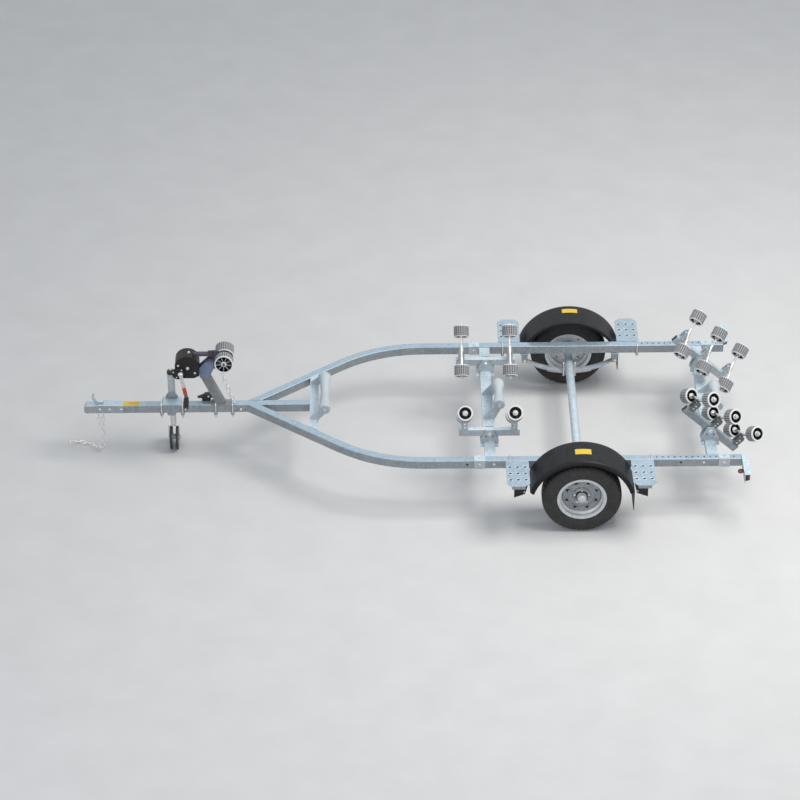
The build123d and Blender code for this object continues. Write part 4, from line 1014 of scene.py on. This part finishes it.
STEP_OUTLINE = [(-85, 758), (85, 758), (85, 1032), (49, 1068), (-49, 1068), (-85, 1032)]
STEP_GUSSET = [(-79, 0), (30, 0), (30, -150), (-51, -118)]
steps = Piece(galv, black_steel, galv_lit, painted_hole_shade_and_caps)
for side in (1, -1):
    for step_x, forward in ((471, 1), (-452, -1)):
        steps.prism([(a, side * b) for a, b in STEP_OUTLINE], (step_x, 0, 476), X, Y, 4)
        # the folds down the outer and the inner edge
        steps.box((step_x, side * 1066, 464), (98, 4, 24))
        steps.box((step_x, side * 760, 464), (170, 4, 24))
        spot = (step_x, side * 1000, 476)
        steps.prism(STEP_GUSSET, spot, X * forward, Z, 4, 1, centred=True)
        # dimples with a raised ring, and a dark disc painted as the shade of a drain hole
        for along in (-56, 0, 56):
            for y in (836, 912, 988):
                x = step_x + forward * along
                rim = [(x + 18 * cos(a), side * (y + 12.5 * sin(a)), 480.4) for a in circle(24)]
                steps.tube(rim, 2.6, 8, 2, closed=True)
                steps.disc((x, side * y, 480), Z, 9, 0.5, 20, 3)
        # bolts that hold the guard to the gusset
        for back, z in ((40, 420), (46, 378)):
            steps.bolt((step_x - forward * back, side * 1002, z), Y * side, 7, 2)
steps.make("steps_dimpled", "frame", bevel=0.5, replaces="steps")


# ---- fasteners of the frame

PIVOTS = ((MIDDLE_X, FRONT_PIVOT_Z), (REAR_X, REAR_PIVOT_Z))
SADDLE_X = (746, -1060)
bolts = Piece(bright, painted_hole_shade_and_caps, galv, yellow_zinc, galv_lit)
# U bolts round the drawbar, and the plates under their nuts
for x in (2721, 2593, 3130, 2971):
    bolts.ubolt((x, 0, RAIL_TOP + 11), 73, 94, 6, 26)
    bolts.box((x, 0, 403), (26, 92, 6), 2)
for side in (1, -1):
    out = Y * side
    # U bolts round the rails at the steps
    for x in (523, -523):
        bolts.ubolt((x, side * RAIL_Y, RAIL_TOP + 5.5), 71, 84, 5, 16)
        bolts.box((x, side * RAIL_Y, 404), (24, 88, 5), 2)
    # bolts through the saddles and the rails' sides, and dark discs beside them painted as the
    # shade of open holes
    for x, z in ((746, 452), (640, 448), (-1060, 452), (-909, 450)):
        proud = 5 if x in SADDLE_X else 0
        bolts.bolt((x, side * (RAIL_OUTER + proud), z), out, 10)
        bolts.bolt((x, side * (RAIL_INNER - proud), z), -out, 10, 0, 6)
    for x, z in ((838, 448), (-739, 450)):
        bolts.disc((x, side * RAIL_OUTER, z), out, 9, 0.5, 24, 1)
    for x in SADDLE_X:
        bolts.bolt((x, side * RAIL_Y, RAIL_TOP + 5), Z, 9)
    # rows of dark discs on the rails' top faces, painted as the shade of holes
    for step in range(14):
        bolts.disc((-560 - 44 * step, side * RAIL_Y, RAIL_TOP), Z, 6.5, 0.35, 18, 1)
    # black caps in the rails' rear ends
    bolts.box((-1190.5, side * RAIL_Y, 445), (5, 53, 63), 1)
    # coupler bolts
    for x in (3597, 3522, 3435):
        bolts.bolt((x, side * 37, 455), out, 11, 0, 3)
    # lamp fixings
    for y in (815, 915):
        bolts.bolt((-1190, side * y, 462), X, 6, 0, 5)
        bolts.bolt((-1208, side * y, 490), Z, 6)
    # nuts on the cradles' pivot pins
    for x, z in PIVOTS:
        for way in (1, -1):
            bolts.disc((x, side * (BEAM_Y + way * 31), z), out * way, 17, 3)
            bolts.hexagon((x, side * (BEAM_Y + way * 34), z), out * way, 26, 12, 0, 12)
# a nut on the drawbar's side, and the plug holder's bolt
bolts.hexagon((2531, 30, 441), Y, 18, 9)
bolts.bolt((2775, -30, 519), Y, 9, 0, 3)
for side in (1, -1):
    # bright zinc bars along the coupler shell's folds and its lower edge, a painted highlight on
    # those edges
    fold = [(3421, 35.8, 484.2), (3570, 35.8, 490), (3668, 35.8, 484), (3690, 33.5, 477.5)]
    bolts.tube(rounded([(x, side * y, z) for x, y, z in fold], 1), 2.2, 8)
    bolts.tube([(3421, side * 37, 416.5), (3684, side * 37, 416.5)], 2.6, 8)
# the coupler's raised handle
handle = [(3574, 490), (3628, 490), (3654, 536), (3648, 584), (3634, 583), (3638, 540)]
handle += [(3612, 507), (3574, 507)]
bolts.plate(handle, (0, 0, 0), 26, 4)
for side in (1, -1):
    # bolts, and dark discs painted as the shade of small holes, in the feet of the cradles' pivots
    for x, _ in PIVOTS:
        for across in (-26, 26):
            bolts.bolt((x + across, side * 503, 453.5), Z, 8, 0, 3)
            bolts.disc((x + across, side * 486.2, 500), Y * side, 5.5, 0.4, 18, 1)
    # springs: U bolts over the axle, and the eye bolts with their nuts
    for x in (-44, 44):
        bolts.ubolt((x, side * SPRING_Y, 333.5), 57, 112, 5.5, 8)
    for x in (-SPRING_HALF, SPRING_HALF):
        mat = 3 if side < 0 and x < 0 else 0
        for way in (1, -1):
            bolts.disc((x, side * SPRING_Y + way * 28.4, EYE_Z), Y * way, 14, 2.5, 22, mat)
            bolts.hexagon((x, side * SPRING_Y + way * 30.5, EYE_Z), Y * way, 22, 10, mat, 8)
    # nuts on the keel pins
    for _, x, z, length in KEEL_ROLLERS:
        reach = length / 2 + 11
        bolts.disc((x, side * reach, z), Y * side, 15, 2.5, 22)
        bolts.hexagon((x, side * (reach + 2), z), Y * side, 22, 8, 0, 15)
bolts.make("frame_hardware", "frame")


# ---- stage, light and camera

FLOOR_HALF_M = 40.0
# the photograph's own view, solved from the wheel rims and the rails; angles in radians
CAMERA_PITCH, CAMERA_YAW, CAMERA_ROLL = 0.6332, -0.0078, -0.0048
CAMERA_PLACE = (1470.0, 18447.0, 14030.0)
FOCAL_PIXELS = 3023.0
PICTURE_PIXELS = 800.0
SENSOR = 36.0


def set_stage():
    """A plain pale floor."""
    floor = bpy.data.meshes.new("floor")
    corners = rectangle(-FLOOR_HALF_M, -FLOOR_HALF_M, FLOOR_HALF_M, FLOOR_HALF_M)
    floor.from_pydata([(x, y, 0) for x, y in corners], [], [(0, 1, 2, 3)])
    g = Graph("pale_floor")
    base = g.ramp(g.noise(3.0, 5.0), (0.3, (0.69, 0.69, 0.685, 1)), (0.7, (0.73, 0.73, 0.725, 1)))
    g.bump(g.noise(700.0, 3.0), 0.05, 0.0006)
    floor.materials.append(g.finish(base, g.span(g.noise(80.0, 3.0), 0.3, 0.7, 0.75, 0.9)))
    place("floor", floor)


def set_world():
    """Soft light all round, and plain white for the camera and for reflections."""
    world = bpy.data.worlds.new("studio")
    bpy.context.scene.world = world
    tree = Tree(world)
    rays = tree.node("LightPath").outputs
    seen = rays["Is Camera Ray"]
    for ray in ("Is Glossy Ray", "Is Transmission Ray"):
        seen = tree.combined("MAXIMUM", seen, rays[ray])
    mixer = tree.node("MixShader")
    tree.link(seen, mixer.inputs[0])
    lights = (((0.86, 0.92, 1.0, 1), 0.47), ((0.93, 0.93, 0.93, 1), 1.0))
    for number, (colour, strength) in enumerate(lights, 1):
        light = tree.node("Background", Color=colour, Strength=strength)
        tree.link(light.outputs[0], mixer.inputs[number])
    tree.link(mixer.outputs[0], tree.node("OutputWorld").inputs["Surface"])


def set_light(name, spot, target, size, power, colour):
    """A soft rectangular lamp, in metres and watts."""
    light = bpy.data.lights.new(name, "AREA")
    light.shape = "RECTANGLE"
    light.size, light.size_y = size
    light.energy = power
    light.color = colour
    lamp = place(name, light)
    lamp.location = spot
    lamp.rotation_euler = (Vector(target) - Vector(spot)).to_track_quat("-Z", "Y").to_euler()


def set_camera():
    """The photograph's own view."""
    level = cos(CAMERA_PITCH)
    forward = Vector((sin(CAMERA_YAW) * level, -cos(CAMERA_YAW) * level, -sin(CAMERA_PITCH)))
    right = Vector((-cos(CAMERA_YAW), -sin(CAMERA_YAW), 0.0))
    up = right.cross(forward)
    turned_right = right * cos(CAMERA_ROLL) + up * sin(CAMERA_ROLL)
    turned_up = up * cos(CAMERA_ROLL) - right * sin(CAMERA_ROLL)
    data = bpy.data.cameras.new("camera")
    data.sensor_width = SENSOR
    data.sensor_fit = "HORIZONTAL"
    data.lens = FOCAL_PIXELS / PICTURE_PIXELS * SENSOR
    data.clip_start = 0.1
    data.clip_end = 200.0
    camera = place("camera", data)
    rows = zip(turned_right, turned_up, -forward, at(*CAMERA_PLACE))
    camera.matrix_world = Matrix([*rows, (0, 0, 0, 1)])
    bpy.context.scene.camera = camera


set_stage()
set_world()
set_light("key", (-4.5, 1.0, 8.0), (0.1, 0, 0.4), (4.2, 4.2), 540.0, (1.0, 0.97, 0.93))
set_light("fill", (4.5, 7.0, 5.0), (0.3, 0, 0.4), (6.0, 4.0), 110.0, (0.94, 0.97, 1.0))
set_camera()
bpy.context.scene.view_settings.view_transform = "Standard"
